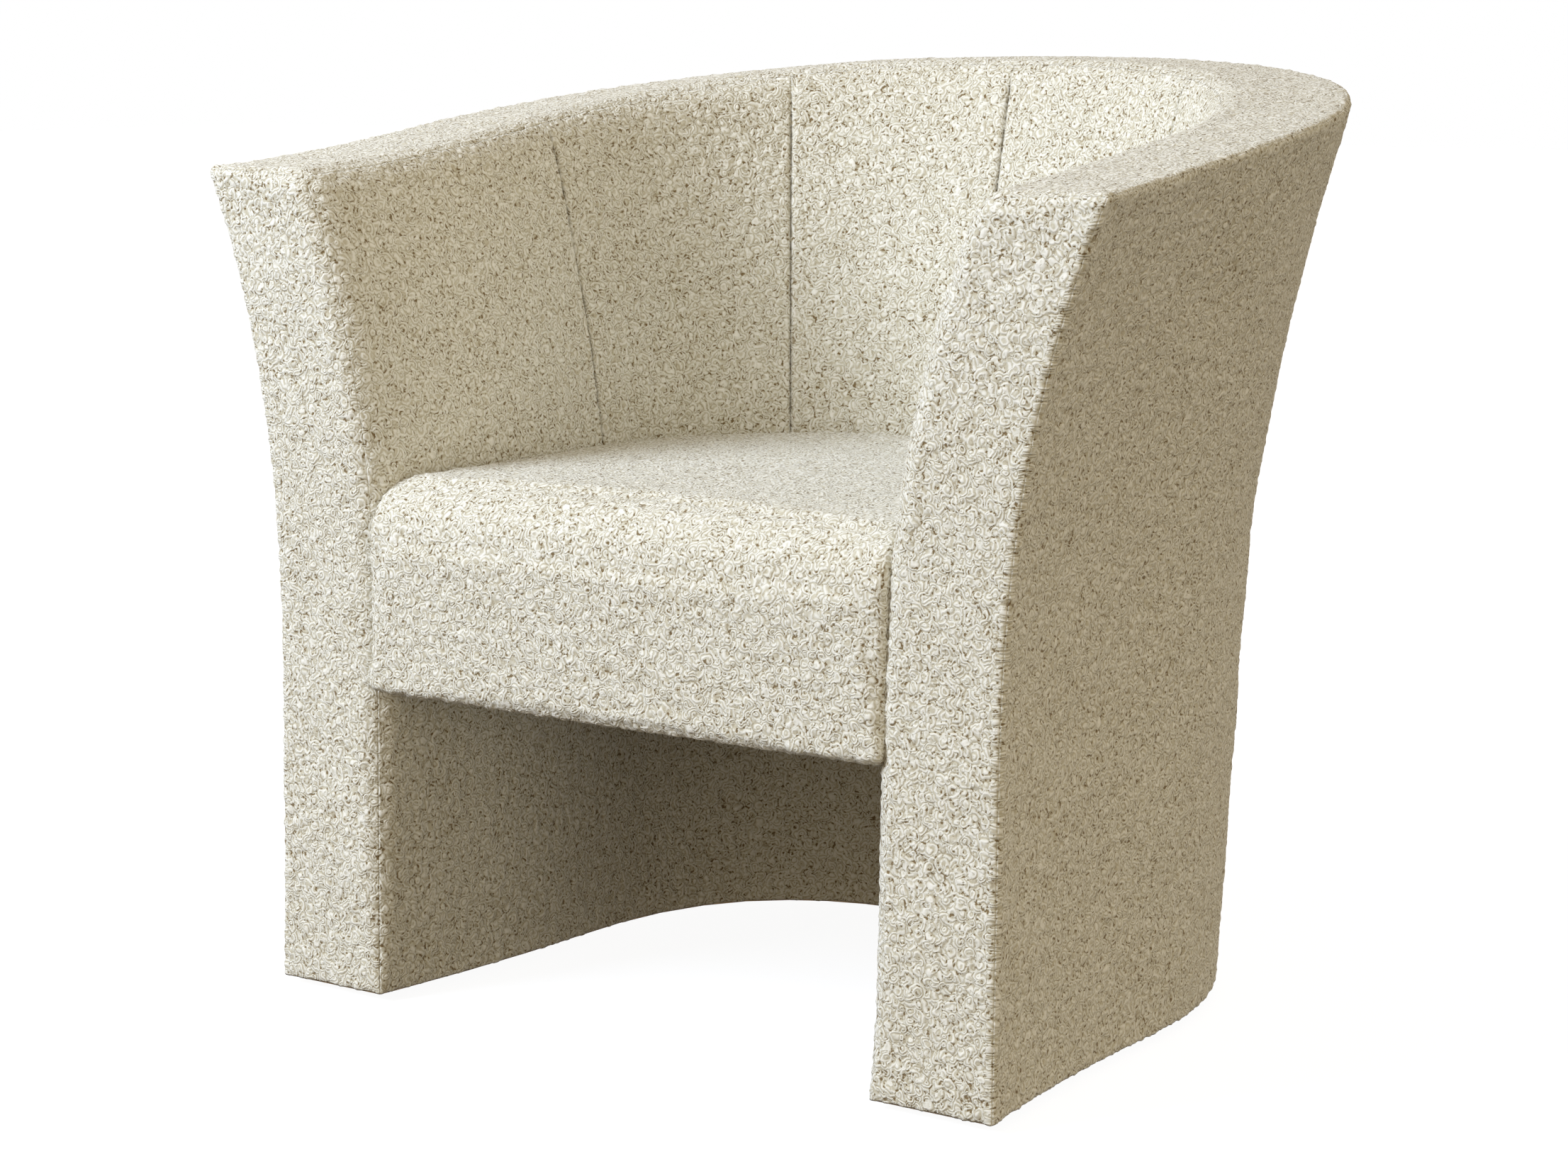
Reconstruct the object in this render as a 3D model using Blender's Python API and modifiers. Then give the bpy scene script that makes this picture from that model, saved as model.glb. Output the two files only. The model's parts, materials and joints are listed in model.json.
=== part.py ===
"""Upholstered tub armchair: a plywood U-frame with sprung seat, foam and curly-pile covers.

Units are metres, +Z is up, the chair faces -Y and X = 0 is its plane of symmetry. The origin is
on the floor under the middle of the chair. The arms, back and legs are one thick wall, U-shaped
in plan. A place in that wall is given by three numbers:
  run     the distance along its outer floor line, from the right arm front round to the left one
  height  the height above the floor
  depth   the distance inwards from its outer face
"""

import math

import bmesh
import bpy
import numpy as np

# ---- Driving dimensions ------------------------------------------------------------------------

# The wall in plan, on its outer floor line
HALF_WIDTH = 0.338        # half width where the straight arms meet the bow of the back
ARM_RUN = 0.253           # straight length of each arm, front to back
BOW_DEPTH = 0.350         # depth of the back's bow behind the arms
BOW_POWER = 2.36          # 2 is an ellipse; more makes squarer back corners
FRONT_SPLAY = 0.0185      # how much wider each arm stands at its front
WALL = 0.111              # thickness of the whole padded wall

# Heights
ARM_HEIGHT = 0.690        # top of the arm fronts
BACK_HEIGHT = 0.778       # top of the back
RIM_RISE_POWER = 1.33     # how late the rim rises from arm to back
SEAT_HEIGHT = 0.437
APRON_DEPTH = 0.175       # seat top to the underside of the front apron
GLIDE_HEIGHT = 0.006

# The wall's outward flare
SIDE_FLARE = 0.080        # arms, at the rim
SIDE_FLARE_START = 0.37   # share of the height below which the arms stand upright
SIDE_FLARE_POWER = 2.45
BACK_LEAN = 0.050         # straight lean of the back, floor to rim
BACK_FLARE = 0.050        # further curl of the back at the rim
BACK_FLARE_START = 0.50
BACK_FLARE_POWER = 1.4
ARM_FRONT_LEAN = 0.019    # backward slope of the arm fronts

# Layers of the wall, outside in
COVER = 0.003             # curly-pile fabric
OUTER_FOAM = 0.008
SKIN = 0.003              # bent hardboard, outer and inner
INNER_FOAM = 0.022
FRONT_FOAM = 0.022        # on the arm fronts
RIM_FOAM = 0.018
GAP = 0.0003              # between layers that touch
RIB_GAP = 0.0010          # glue line between a flat rib and a bent skin
RIM_GAP_SHARE = 0.0102    # further gap between layers under the sloping rim, for each metre it rises

# Panels of the inside back, as shares of the wall's run at which their seams stand
SEAM_SHARES = (0.193, 0.362, 0.5, 0.638, 0.807)

# Frame
PLATE = 0.018             # plywood of the base plate, rim plate, ribs and posts
SIDE_RIB_RUN = 0.235      # run of the rib in each arm
BACK_RIB_SHARE = 0.32     # share of the run at which each back-corner rib stands
RAIL_THICKNESS = 0.025
RAIL_DEPTH = 0.0495       # height of the seat rails
DECK = 0.012              # plywood seat deck
DECK_FRAME = 0.030        # width of the deck beyond the rails' inner faces
BACK_RAIL_PLACE = 0.395   # front face of the back rail, from the chair's front
CORNER_BLOCK_LEG = 0.045
CORNER_BLOCK_HEIGHT = 0.040

# Seat
SPRING_COUNT = 4
SPRING_WIRE = 0.0036
SPRING_WIDTH = 0.046      # width of each zig-zag
SPRING_PITCH = 0.024      # from one cross bar to the next
SPRING_CROWN = 0.009      # rise of a spring's middle
CLIP_THICKNESS = 0.0012
CLIP_WIDTH = 0.026
CLIP_LENGTH = 0.020
INSULATOR = 0.003
INSULATOR_PLACE = 0.0200  # underside of the insulator above the deck
APRON_SETBACK = 0.004     # apron face behind the arm fronts
SEAT_FRONT_RADIUS = 0.046
SEAT_EDGE_RADIUS = 0.009
SIDE_CLEARANCE = 0.0010   # between the seat and the wall beside it
SEAT_FRONT_CLEAR = 0.020  # from the seat's front roundover to the first edge down its side

# Glides
GLIDE_RADIUS = 0.011
GLIDE_CHAMFER = 0.0024    # height of the worn lower edge
GLIDE_PIN_RADIUS = 0.0015
GLIDE_PIN_LENGTH = 0.013
GLIDE_PIN_CLEARANCE = 0.0003
GLIDE_SHARES = (0.035, 0.20, 0.40)   # shares of the run, on each side

# Fineness of the curves
EDGE_CLEAR = 0.0010       # a layer skips an edge of the wall nearer to its own end than this
UPPER_ROWS = 5            # level edges of the wall between the seat and the rim
STATION_COUNTS = (1, 3, 1, 4, 4)   # upright edges: arm front, arm, to seam 1, to seam 2, to the middle
EDGE_STEPS = 5            # round the seat's top edge
LINE_STRAIGHT_STEPS = 40
LINE_BOW_STEPS = 400
GLIDE_STEPS = 16
PIN_HOLE_STEPS = 12

# ---- Derived dimensions --------------------------------------------------------------------------

OVERALL_DEPTH = ARM_RUN + BOW_DEPTH + BACK_LEAN + BACK_FLARE
MIDDLE = OVERALL_DEPTH / 2
APRON_HEIGHT = SEAT_HEIGHT - APRON_DEPTH
RIM_GAP = GAP + RIM_GAP_SHARE * (BACK_HEIGHT - ARM_HEIGHT)
SHELL_BOTTOM = GLIDE_HEIGHT + GAP
SKIN_OUTER = COVER + OUTER_FOAM + 2 * GAP
FRAME_OUTER = SKIN_OUTER + SKIN + GAP
INNER_COVER = WALL - COVER
FOAM_INNER_FACE = INNER_COVER - GAP
SKIN_INNER_FACE = FOAM_INNER_FACE - INNER_FOAM - GAP
FRAME_INNER = SKIN_INNER_FACE - SKIN - GAP
SEAT_FRAME_DEPTH = SKIN_INNER_FACE + GAP
BASE_TOP = SHELL_BOTTOM + PLATE
ON_BASE = BASE_TOP + GAP
RAIL_BOTTOM = APRON_HEIGHT + 2 * COVER
RAIL_TOP = RAIL_BOTTOM + RAIL_DEPTH
DECK_BOTTOM = RAIL_TOP + GAP
DECK_TOP = DECK_BOTTOM + DECK
UPPER_BOTTOM = DECK_TOP + GAP
FRAME_FRONT = COVER + FRONT_FOAM + 2 * GAP
RAIL_FRONT = FRAME_FRONT + 2 * GAP + ARM_FRONT_LEAN * (UPPER_BOTTOM - SHELL_BOTTOM)
RIM_COVER_DROP = COVER + RIM_GAP
RIM_FOAM_DROP = RIM_COVER_DROP + RIM_FOAM
PLATE_DROP = RIM_FOAM_DROP + RIM_GAP
RIB_DROP = PLATE_DROP + PLATE + RIM_GAP

# ---- The wall's shape ----------------------------------------------------------------------------


def floor_line():
    """Right half of the wall's outer floor line, front to middle of the back: points and runs."""
    straight = np.linspace(0.0, ARM_RUN, LINE_STRAIGHT_STEPS, endpoint=False)
    splay = FRONT_SPLAY * ((ARM_RUN - straight) / ARM_RUN) ** 2
    turn = np.linspace(0.0, math.pi / 2, LINE_BOW_STEPS)
    bow_x = HALF_WIDTH * np.abs(np.cos(turn)) ** (2 / BOW_POWER)
    bow_y = ARM_RUN + BOW_DEPTH * np.sin(turn) ** (2 / BOW_POWER)
    bow_x[-1] = 0.0
    x = np.concatenate([HALF_WIDTH + splay, bow_x])
    y = np.concatenate([straight, bow_y])
    runs = np.concatenate([[0.0], np.cumsum(np.hypot(np.diff(x), np.diff(y)))])
    return x, y, runs


LINE_X, LINE_Y, LINE_RUNS = floor_line()
HALF_RUN = LINE_RUNS[-1]
RUN = 2 * HALF_RUN
BOW_RUN = float(np.interp(ARM_RUN, LINE_Y, LINE_RUNS))


def line_point(run):
    """Place on the outer floor line and the level direction that points straight out of the wall."""
    side = 1.0 if run <= HALF_RUN else -1.0
    near = min(run, RUN - run)
    x = float(np.interp(near, LINE_RUNS, LINE_X))
    y = float(np.interp(near, LINE_RUNS, LINE_Y))
    if y <= ARM_RUN:
        return x * side, y, side, 0.0
    if HALF_RUN - near < 1e-6:
        return 0.0, y, 0.0, 1.0
    across = (x / HALF_WIDTH) ** (BOW_POWER - 1) / HALF_WIDTH
    back = ((y - ARM_RUN) / BOW_DEPTH) ** (BOW_POWER - 1) / BOW_DEPTH
    length = math.hypot(across, back)
    return x * side, y, side * across / length, back / length


def rim_height(y):
    return ARM_HEIGHT + (BACK_HEIGHT - ARM_HEIGHT) * back_share(y) ** RIM_RISE_POWER


def back_share(y):
    """0 at the arm fronts, 1 at the middle of the back."""
    return min(max(y / (ARM_RUN + BOW_DEPTH), 0.0), 1.0)


def flare(y, height):
    """How far the wall's outer face stands out from its floor line."""
    level = height / rim_height(y)
    side = max(0.0, (level - SIDE_FLARE_START) / (1 - SIDE_FLARE_START)) ** SIDE_FLARE_POWER
    back = max(0.0, (level - BACK_FLARE_START) / (1 - BACK_FLARE_START)) ** BACK_FLARE_POWER
    share = back_share(y)
    return SIDE_FLARE * side * (1 - share) + (BACK_LEAN * level + BACK_FLARE * back) * share


def station_runs():
    """Runs of the wall's upright edges: each change of layer, each panel seam, and even steps."""
    right_seams = [share * RUN for share in SEAM_SHARES if share < 0.5]
    stops = [0.0, FRAME_FRONT, BOW_RUN] + right_seams + [HALF_RUN]
    runs = [0.0]
    for start, stop, count in zip(stops, stops[1:], STATION_COUNTS):
        runs += [start + (stop - start) * step / count for step in range(1, count + 1)]
    return runs + [RUN - run for run in reversed(runs[:-1])]


def row_heights(rim):
    """Heights of the wall's level edges where its rim is at this height."""
    lower = [SHELL_BOTTOM, BASE_TOP, RAIL_BOTTOM, UPPER_BOTTOM, SEAT_HEIGHT]
    top_zone = rim - RIB_DROP
    step = (top_zone - SEAT_HEIGHT) / UPPER_ROWS
    upper = [SEAT_HEIGHT + step * row for row in range(1, UPPER_ROWS + 1)]
    return lower + upper + [rim - PLATE_DROP, rim]


STATIONS = station_runs()
PLACES = np.array([line_point(run) for run in STATIONS])
RIMS = np.array([rim_height(y) for y in PLACES[:, 1]])
SHARES = np.array([back_share(y) for y in PLACES[:, 1]])
ROWS = np.array([row_heights(rim) for rim in RIMS])
FLARES = np.array([
    [flare(y, height) for height in heights] for y, heights in zip(PLACES[:, 1], ROWS)
])


def at_run(values, run):
    """A value that belongs to the stations, read at any run between them."""
    return float(np.interp(run, STATIONS, values))


def wall_point(run, height, depth):
    """A point of the wall. The wall is flat between its stations and rows, as every layer is."""
    heights = [at_run(ROWS[:, row], run) for row in range(ROWS.shape[1])]
    flares = [at_run(FLARES[:, row], run) for row in range(ROWS.shape[1])]
    out = float(np.interp(height, heights, flares)) - depth
    lean = ARM_FRONT_LEAN * (height - SHELL_BOTTOM) * (1 - at_run(SHARES, run))
    x = at_run(PLACES[:, 0], run) + at_run(PLACES[:, 2], run) * out
    y = at_run(PLACES[:, 1], run) + at_run(PLACES[:, 3], run) * out + lean
    return x, y - MIDDLE, height


def half_width_at(place, height, depth):
    """Half the clear width between the wall's two sides, this far behind the chair's front."""
    side = [wall_point(run, height, depth) for run in STATIONS[: len(STATIONS) // 2 + 1]]
    return float(np.interp(place - MIDDLE, [p[1] for p in side], [p[0] for p in side]))


# ---- Making objects ------------------------------------------------------------------------------

for old in list(bpy.data.objects):
    bpy.data.objects.remove(old, do_unlink=True)

CHAIR = bpy.data.collections.new("tub_armchair")
CUTTERS = bpy.data.collections.new("cutters")
for group in (CHAIR, CUTTERS):
    bpy.context.scene.collection.children.link(group)


def finish(name, colour, roughness, metallic=0.0):
    material = bpy.data.materials.new(name)
    material.use_nodes = True
    shader = material.node_tree.nodes["Principled BSDF"]
    shader.inputs["Base Color"].default_value = (*colour, 1.0)
    shader.inputs["Roughness"].default_value = roughness
    shader.inputs["Metallic"].default_value = metallic
    return material


PILE = finish("cream_curly_pile", (0.78, 0.74, 0.64), 0.95)
LINING = finish("black_dust_cloth", (0.02, 0.02, 0.02), 0.9)
FOAM = finish("cream_foam", (0.85, 0.80, 0.62), 0.95)
FELT = finish("grey_felt", (0.35, 0.34, 0.33), 0.95)
PLYWOOD = finish("birch_plywood", (0.66, 0.50, 0.32), 0.6)
BEECH = finish("beech", (0.62, 0.42, 0.26), 0.55)
HARDBOARD = finish("hardboard", (0.32, 0.20, 0.11), 0.7)
STEEL = finish("spring_steel", (0.42, 0.43, 0.45), 0.35, 1.0)
NYLON = finish("black_nylon", (0.03, 0.03, 0.03), 0.45)


def add_object(name, data, material, collection=CHAIR):
    thing = bpy.data.objects.new(name, data)
    if material is not None:
        data.materials.append(material)
    collection.objects.link(thing)
    return thing


def mesh_object(name, points, faces, material, collection=CHAIR):
    mesh = bpy.data.meshes.new(name)
    mesh.from_pydata(points, [], faces)
    work = bmesh.new()
    work.from_mesh(mesh)
    bmesh.ops.recalc_face_normals(work, faces=work.faces)
    work.to_mesh(mesh)
    work.free()
    return add_object(name, mesh, material, collection)


def from_floor(height):
    """A level that is the same all round the wall."""
    return lambda rim: height


def from_rim(drop):
    """A level that follows the rim, this far below it."""
    return lambda rim: rim - drop


def wall_piece(name, depths, low, high, material, start=0.0, stop=RUN):
    """One layer, rib or plate of the wall: the closed loft between two depths, levels and runs."""
    inside = [run for run in STATIONS if start + EDGE_CLEAR < run < stop - EDGE_CLEAR]
    runs = [start] + inside + [stop]
    rims = [at_run(RIMS, run) for run in runs]
    levels = []
    for run, rim in zip(runs, rims):
        between = [
            row for row in range(ROWS.shape[1])
            if all(
                low(other) + EDGE_CLEAR < at_run(ROWS[:, row], place) < high(other) - EDGE_CLEAR
                for place, other in zip(runs, rims)
            )
        ]
        levels.append([low(rim)] + [at_run(ROWS[:, row], run) for row in between] + [high(rim)])
    count = len(levels[0])
    points = [
        wall_point(run, height, depth)
        for depth in depths for run, heights in zip(runs, levels) for height in heights
    ]

    def corner(layer, column, row):
        return (layer * len(runs) + column) * count + row

    faces = []
    for column in range(len(runs) - 1):
        for row in range(count - 1):
            for layer in (0, 1):
                faces.append([
                    corner(layer, column, row), corner(layer, column + 1, row),
                    corner(layer, column + 1, row + 1), corner(layer, column, row + 1),
                ])
        for row in (0, count - 1):
            faces.append([
                corner(0, column, row), corner(0, column + 1, row),
                corner(1, column + 1, row), corner(1, column, row),
            ])
    for column in (0, len(runs) - 1):
        for row in range(count - 1):
            faces.append([
                corner(0, column, row), corner(0, column, row + 1),
                corner(1, column, row + 1), corner(1, column, row),
            ])
    return mesh_object(name, points, faces, material)


def seat_loop(height, depth, place):
    """A level D-shaped loop inside the wall, cut straight across this far behind the front."""
    half = len(STATIONS) // 2
    first = next(
        index for index, run in enumerate(STATIONS)
        if wall_point(run, SEAT_HEIGHT, WALL)[1] + MIDDLE > SEAT_FRONT_RADIUS + SEAT_FRONT_CLEAR
    )
    front_x = half_width_at(place, height, depth)
    front_y = place - MIDDLE
    right = [wall_point(run, height, depth) for run in STATIONS[first:half]]
    left = [(-x, y, z) for x, y, z in reversed(right)]
    middle = [wall_point(STATIONS[half], height, depth)]
    return [(front_x, front_y, height)] + right + middle + left + [(-front_x, front_y, height)]


def seat_piece(name, loops, material, collection=CHAIR):
    """A closed loft through level D-shaped loops, each given as height, depth and front place."""
    rings = [seat_loop(*loop) for loop in loops]
    size = len(rings[0])
    faces = [list(range(size)), [(len(rings) - 1) * size + index for index in range(size)]]
    for ring in range(len(rings) - 1):
        for index in range(size):
            after = (index + 1) % size
            faces.append([
                ring * size + index, ring * size + after,
                (ring + 1) * size + after, (ring + 1) * size + index,
            ])
    return mesh_object(name, [point for ring in rings for point in ring], faces, material, collection)


def box(name, low, high, material, collection=CHAIR):
    """A box between two corners, from the cube primitive."""
    work = bmesh.new()
    bmesh.ops.create_cube(work, size=1.0)
    for vertex in work.verts:
        vertex.co = [
            (a + b) / 2 + share * (b - a) for a, b, share in zip(low, high, vertex.co)
        ]
    mesh = bpy.data.meshes.new(name)
    work.to_mesh(mesh)
    work.free()
    return add_object(name, mesh, material, collection)


def outline(name, points, thickness, material):
    """A flat closed outline in its own XY plane, thickened evenly about it."""
    curve = bpy.data.curves.new(name, "CURVE")
    curve.dimensions = "2D"
    curve.fill_mode = "BOTH"
    curve.extrude = thickness / 2
    spline = curve.splines.new("POLY")
    spline.points.add(len(points) - 1)
    for target, (x, y) in zip(spline.points, points):
        target.co = (x, y, 0.0, 1.0)
    spline.use_cyclic_u = True
    return add_object(name, curve, material)


def cut(thing, cutter, name):
    """Cut one object with another, which is then only a guide."""
    cutter.hide_render = True
    cutter.display_type = "WIRE"
    modifier = thing.modifiers.new(name, "BOOLEAN")
    modifier.operation = "DIFFERENCE"
    modifier.solver = "EXACT"
    modifier.object = cutter


# ---- Frame ---------------------------------------------------------------------------------------


def make_wall_frame():
    wall_piece(
        "base_plate", (COVER + GAP, FOAM_INNER_FACE), from_floor(SHELL_BOTTOM), from_floor(BASE_TOP),
        PLYWOOD, start=COVER + GAP, stop=RUN - COVER - GAP,
    )
    wall_piece(
        "rim_plate", (FRAME_OUTER, FRAME_INNER), from_rim(PLATE_DROP + PLATE), from_rim(PLATE_DROP),
        PLYWOOD, start=FRAME_FRONT, stop=RUN - FRAME_FRONT,
    )
    rib = (FRAME_OUTER + RIB_GAP, FRAME_INNER - RIB_GAP)
    right = {
        "arm_post": FRAME_FRONT + PLATE / 2,
        "arm_rib": SIDE_RIB_RUN,
        "back_rib": BACK_RIB_SHARE * RUN,
    }
    places = {"back_rib_middle": HALF_RUN}
    for name, run in right.items():
        places[name + "_right"] = run
        places[name + "_left"] = RUN - run
    for name, run in places.items():
        wall_piece(
            name, rib, from_floor(ON_BASE), from_rim(RIB_DROP), PLYWOOD,
            start=run - PLATE / 2, stop=run + PLATE / 2,
        )


def make_skins():
    ends = {"start": FRAME_FRONT, "stop": RUN - FRAME_FRONT}
    low, high = from_floor(ON_BASE), from_rim(PLATE_DROP)
    wall_piece("outer_skin", (SKIN_OUTER, SKIN_OUTER + SKIN), low, high, HARDBOARD, **ends)
    wall_piece("inner_skin", (SKIN_INNER_FACE - SKIN, SKIN_INNER_FACE), low, high, HARDBOARD, **ends)


RAIL_BACK = BACK_RAIL_PLACE + RAIL_THICKNESS
SIDE_RAIL_FACE = half_width_at(RAIL_BACK, RAIL_BOTTOM, SEAT_FRAME_DEPTH) - SIDE_CLEARANCE
OPENING_HALF = SIDE_RAIL_FACE - DECK_FRAME
OPENING_FRONT = RAIL_FRONT + DECK_FRAME
OPENING_BACK = RAIL_BACK - DECK_FRAME


def make_seat_frame():
    front_back = RAIL_FRONT + RAIL_THICKNESS
    front_half = half_width_at(front_back, RAIL_BOTTOM, SEAT_FRAME_DEPTH) - SIDE_CLEARANCE
    box(
        "front_rail", (-front_half, RAIL_FRONT - MIDDLE, RAIL_BOTTOM),
        (front_half, front_back - MIDDLE, RAIL_TOP), BEECH,
    )
    box(
        "back_rail", (-SIDE_RAIL_FACE, BACK_RAIL_PLACE - MIDDLE, RAIL_BOTTOM),
        (SIDE_RAIL_FACE, RAIL_BACK - MIDDLE, RAIL_TOP), BEECH,
    )
    for side, name in ((1, "right"), (-1, "left")):
        faces = sorted((side * SIDE_RAIL_FACE, side * (SIDE_RAIL_FACE - RAIL_THICKNESS)))
        box(
            "side_rail_" + name, (faces[0], front_back + GAP - MIDDLE, RAIL_BOTTOM),
            (faces[1], BACK_RAIL_PLACE - GAP - MIDDLE, RAIL_TOP), BEECH,
        )
    make_corner_blocks(front_back)
    deck = seat_piece(
        "seat_deck",
        [(DECK_BOTTOM, SEAT_FRAME_DEPTH, RAIL_FRONT), (DECK_TOP, SEAT_FRAME_DEPTH, RAIL_FRONT)],
        PLYWOOD,
    )
    opening = box(
        "deck_opening", (-OPENING_HALF, OPENING_FRONT - MIDDLE, DECK_BOTTOM - DECK),
        (OPENING_HALF, OPENING_BACK - MIDDLE, DECK_TOP + DECK), None, CUTTERS,
    )
    cut(deck, opening, "opening")


def make_corner_blocks(front_back):
    """Three-sided glue blocks in the corners of the rails."""
    inner = SIDE_RAIL_FACE - RAIL_THICKNESS - GAP
    middle = (RAIL_BOTTOM + RAIL_TOP) / 2
    for across, side in ((1, "right"), (-1, "left")):
        for along, end, place in ((1, "front", front_back + GAP), (-1, "back", BACK_RAIL_PLACE - GAP)):
            leg_x = -across * CORNER_BLOCK_LEG
            leg_y = along * CORNER_BLOCK_LEG
            points = [(0.0, 0.0), (leg_x, 0.0), (0.0, leg_y)]
            block = outline(
                f"corner_block_{end}_{side}", points, CORNER_BLOCK_HEIGHT, BEECH
            )
            block.location = (across * inner, place - MIDDLE, middle)


# ---- Springs -------------------------------------------------------------------------------------

SPRING_RADIUS = SPRING_WIRE / 2
WIRE_LEVEL = DECK_TOP + GAP + CLIP_THICKNESS + GAP + SPRING_RADIUS
SPRING_START = OPENING_FRONT - CLIP_LENGTH / 2
SPRING_STOP = OPENING_BACK + CLIP_LENGTH / 2


def spring_places():
    spacing = 2 * OPENING_HALF / SPRING_COUNT
    return [-OPENING_HALF + spacing * (index + 0.5) for index in range(SPRING_COUNT)]


def spring_path(centre):
    """A zig-zag wire: cross bars joined by short rounded turns, on a low crown."""
    bars = round((SPRING_STOP - SPRING_START) / SPRING_PITCH)
    pitch = (SPRING_STOP - SPRING_START) / bars
    turn = pitch / 4
    straight = SPRING_WIDTH / 2 - turn
    path = []
    for bar in range(bars + 1):
        place = SPRING_START + bar * pitch
        side = 1 if bar % 2 else -1
        corner_in = [(-side * SPRING_WIDTH / 2, place - turn)] if bar > 0 else []
        corner_out = [(side * SPRING_WIDTH / 2, place + turn)] if bar < bars else []
        path += corner_in + [(-side * straight, place), (side * straight, place)] + corner_out
    points = []
    for x, place in path:
        share = (place - SPRING_START) / (SPRING_STOP - SPRING_START)
        crown = SPRING_CROWN * math.sin(math.pi * min(max(share, 0.0), 1.0))
        points.append((centre + x, place - MIDDLE, WIRE_LEVEL + crown))
    return points


def make_springs():
    for number, centre in enumerate(spring_places(), 1):
        curve = bpy.data.curves.new(f"zigzag_spring_{number}", "CURVE")
        curve.dimensions = "3D"
        curve.bevel_depth = SPRING_RADIUS
        curve.bevel_resolution = 1
        curve.use_fill_caps = True
        points = spring_path(centre)
        spline = curve.splines.new("POLY")
        spline.points.add(len(points) - 1)
        for target, point in zip(spline.points, points):
            target.co = (*point, 1.0)
        add_object(curve.name, curve, STEEL)
        for place, end, facing in ((SPRING_START, "front", 1), (SPRING_STOP, "back", -1)):
            make_clip(f"spring_clip_{end}_{number}", centre, place, facing)


def make_clip(name, centre, place, facing):
    """A strip of steel folded over the spring's last cross bar and fixed to the deck."""
    sheet = CLIP_THICKNESS
    inner = SPRING_WIRE + 2 * GAP
    reach = CLIP_LENGTH / 2 - sheet
    profile = [
        (reach, 0.0), (-reach, 0.0), (-reach, 2 * sheet + inner), (SPRING_WIRE, 2 * sheet + inner),
        (SPRING_WIRE, sheet + inner), (sheet - reach, sheet + inner), (sheet - reach, sheet),
        (reach, sheet),
    ]
    points = [(facing * along, up) for along, up in profile]
    clip = outline(name, points, CLIP_WIDTH, STEEL)
    clip.rotation_euler = (math.pi / 2, 0.0, math.pi / 2)
    clip.location = (centre, place - MIDDLE, DECK_TOP + GAP)


# ---- Foam and insulation -------------------------------------------------------------------------

SEAT_COVER_DEPTH = WALL + SIDE_CLEARANCE
SEAT_FOAM_DEPTH = SEAT_COVER_DEPTH + COVER + GAP
SEAT_FOAM_FRONT = APRON_SETBACK + COVER + GAP
SEAT_FOAM_TOP = SEAT_HEIGHT - COVER - GAP
INSULATOR_BOTTOM = DECK_TOP + INSULATOR_PLACE


def rounded_loops(bottom, top, depth, place, front_radius, edge_radius):
    """Loops of a seat-shaped block whose top edge is rounded, more at its front than elsewhere."""
    turns = [math.pi / 2 * step / EDGE_STEPS for step in range(EDGE_STEPS + 1)]
    curl = [top - front_radius * (1 - math.sin(turn)) for turn in turns]
    rows = [row for row in (RAIL_BOTTOM, UPPER_BOTTOM) if bottom < row < top]
    loops = []
    for height in sorted([bottom] + rows + curl):
        into_front = max(0.0, front_radius - (top - height))
        into_edge = max(0.0, edge_radius - (top - height))
        front = front_radius - math.sqrt(max(0.0, front_radius ** 2 - into_front ** 2))
        edge = edge_radius - math.sqrt(max(0.0, edge_radius ** 2 - into_edge ** 2))
        loops.append((height, depth + edge, place + front))
    return loops


def make_foam():
    ends = {"start": COVER + GAP, "stop": RUN - COVER - GAP}
    framed = {"start": FRAME_FRONT, "stop": RUN - FRAME_FRONT}
    low = from_floor(ON_BASE)
    outer = (COVER + GAP, COVER + GAP + OUTER_FOAM)
    inner = (FOAM_INNER_FACE - INNER_FOAM, FOAM_INNER_FACE)
    under_rim = from_rim(PLATE_DROP)
    wall_piece("outer_foam", outer, low, under_rim, FOAM, **framed)
    wall_piece("back_foam", inner, from_floor(UPPER_BOTTOM), under_rim, FOAM, **framed)
    wall_piece("under_seat_foam", inner, low, from_floor(RAIL_BOTTOM - GAP), FOAM, **framed)
    whole = (COVER + GAP, FOAM_INNER_FACE)
    wall_piece("rim_foam", whole, from_rim(RIM_FOAM_DROP), from_rim(RIM_COVER_DROP), FOAM, **ends)
    for side, start in (("right", COVER + GAP), ("left", RUN - COVER - GAP - FRONT_FOAM)):
        wall_piece(
            "arm_front_foam_" + side, whole, low, under_rim, FOAM,
            start=start, stop=start + FRONT_FOAM,
        )


def make_seat_padding():
    insulator_top = INSULATOR_BOTTOM + INSULATOR
    levels = (INSULATOR_BOTTOM, insulator_top)
    seat_piece(
        "spring_insulator", [(level, SEAT_FOAM_DEPTH, RAIL_FRONT) for level in levels], FELT
    )
    seat_piece(
        "seat_foam",
        rounded_loops(
            insulator_top + GAP, SEAT_FOAM_TOP, SEAT_FOAM_DEPTH, SEAT_FOAM_FRONT,
            SEAT_FRONT_RADIUS - COVER, SEAT_EDGE_RADIUS,
        ),
        FOAM,
    )
    half = half_width_at(RAIL_FRONT, APRON_HEIGHT, SEAT_FOAM_DEPTH) - SIDE_CLEARANCE
    box(
        "apron_foam", (-half, SEAT_FOAM_FRONT - MIDDLE, RAIL_BOTTOM),
        (half, RAIL_FRONT - GAP - MIDDLE, insulator_top), FOAM,
    )


# ---- Covers --------------------------------------------------------------------------------------


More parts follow.
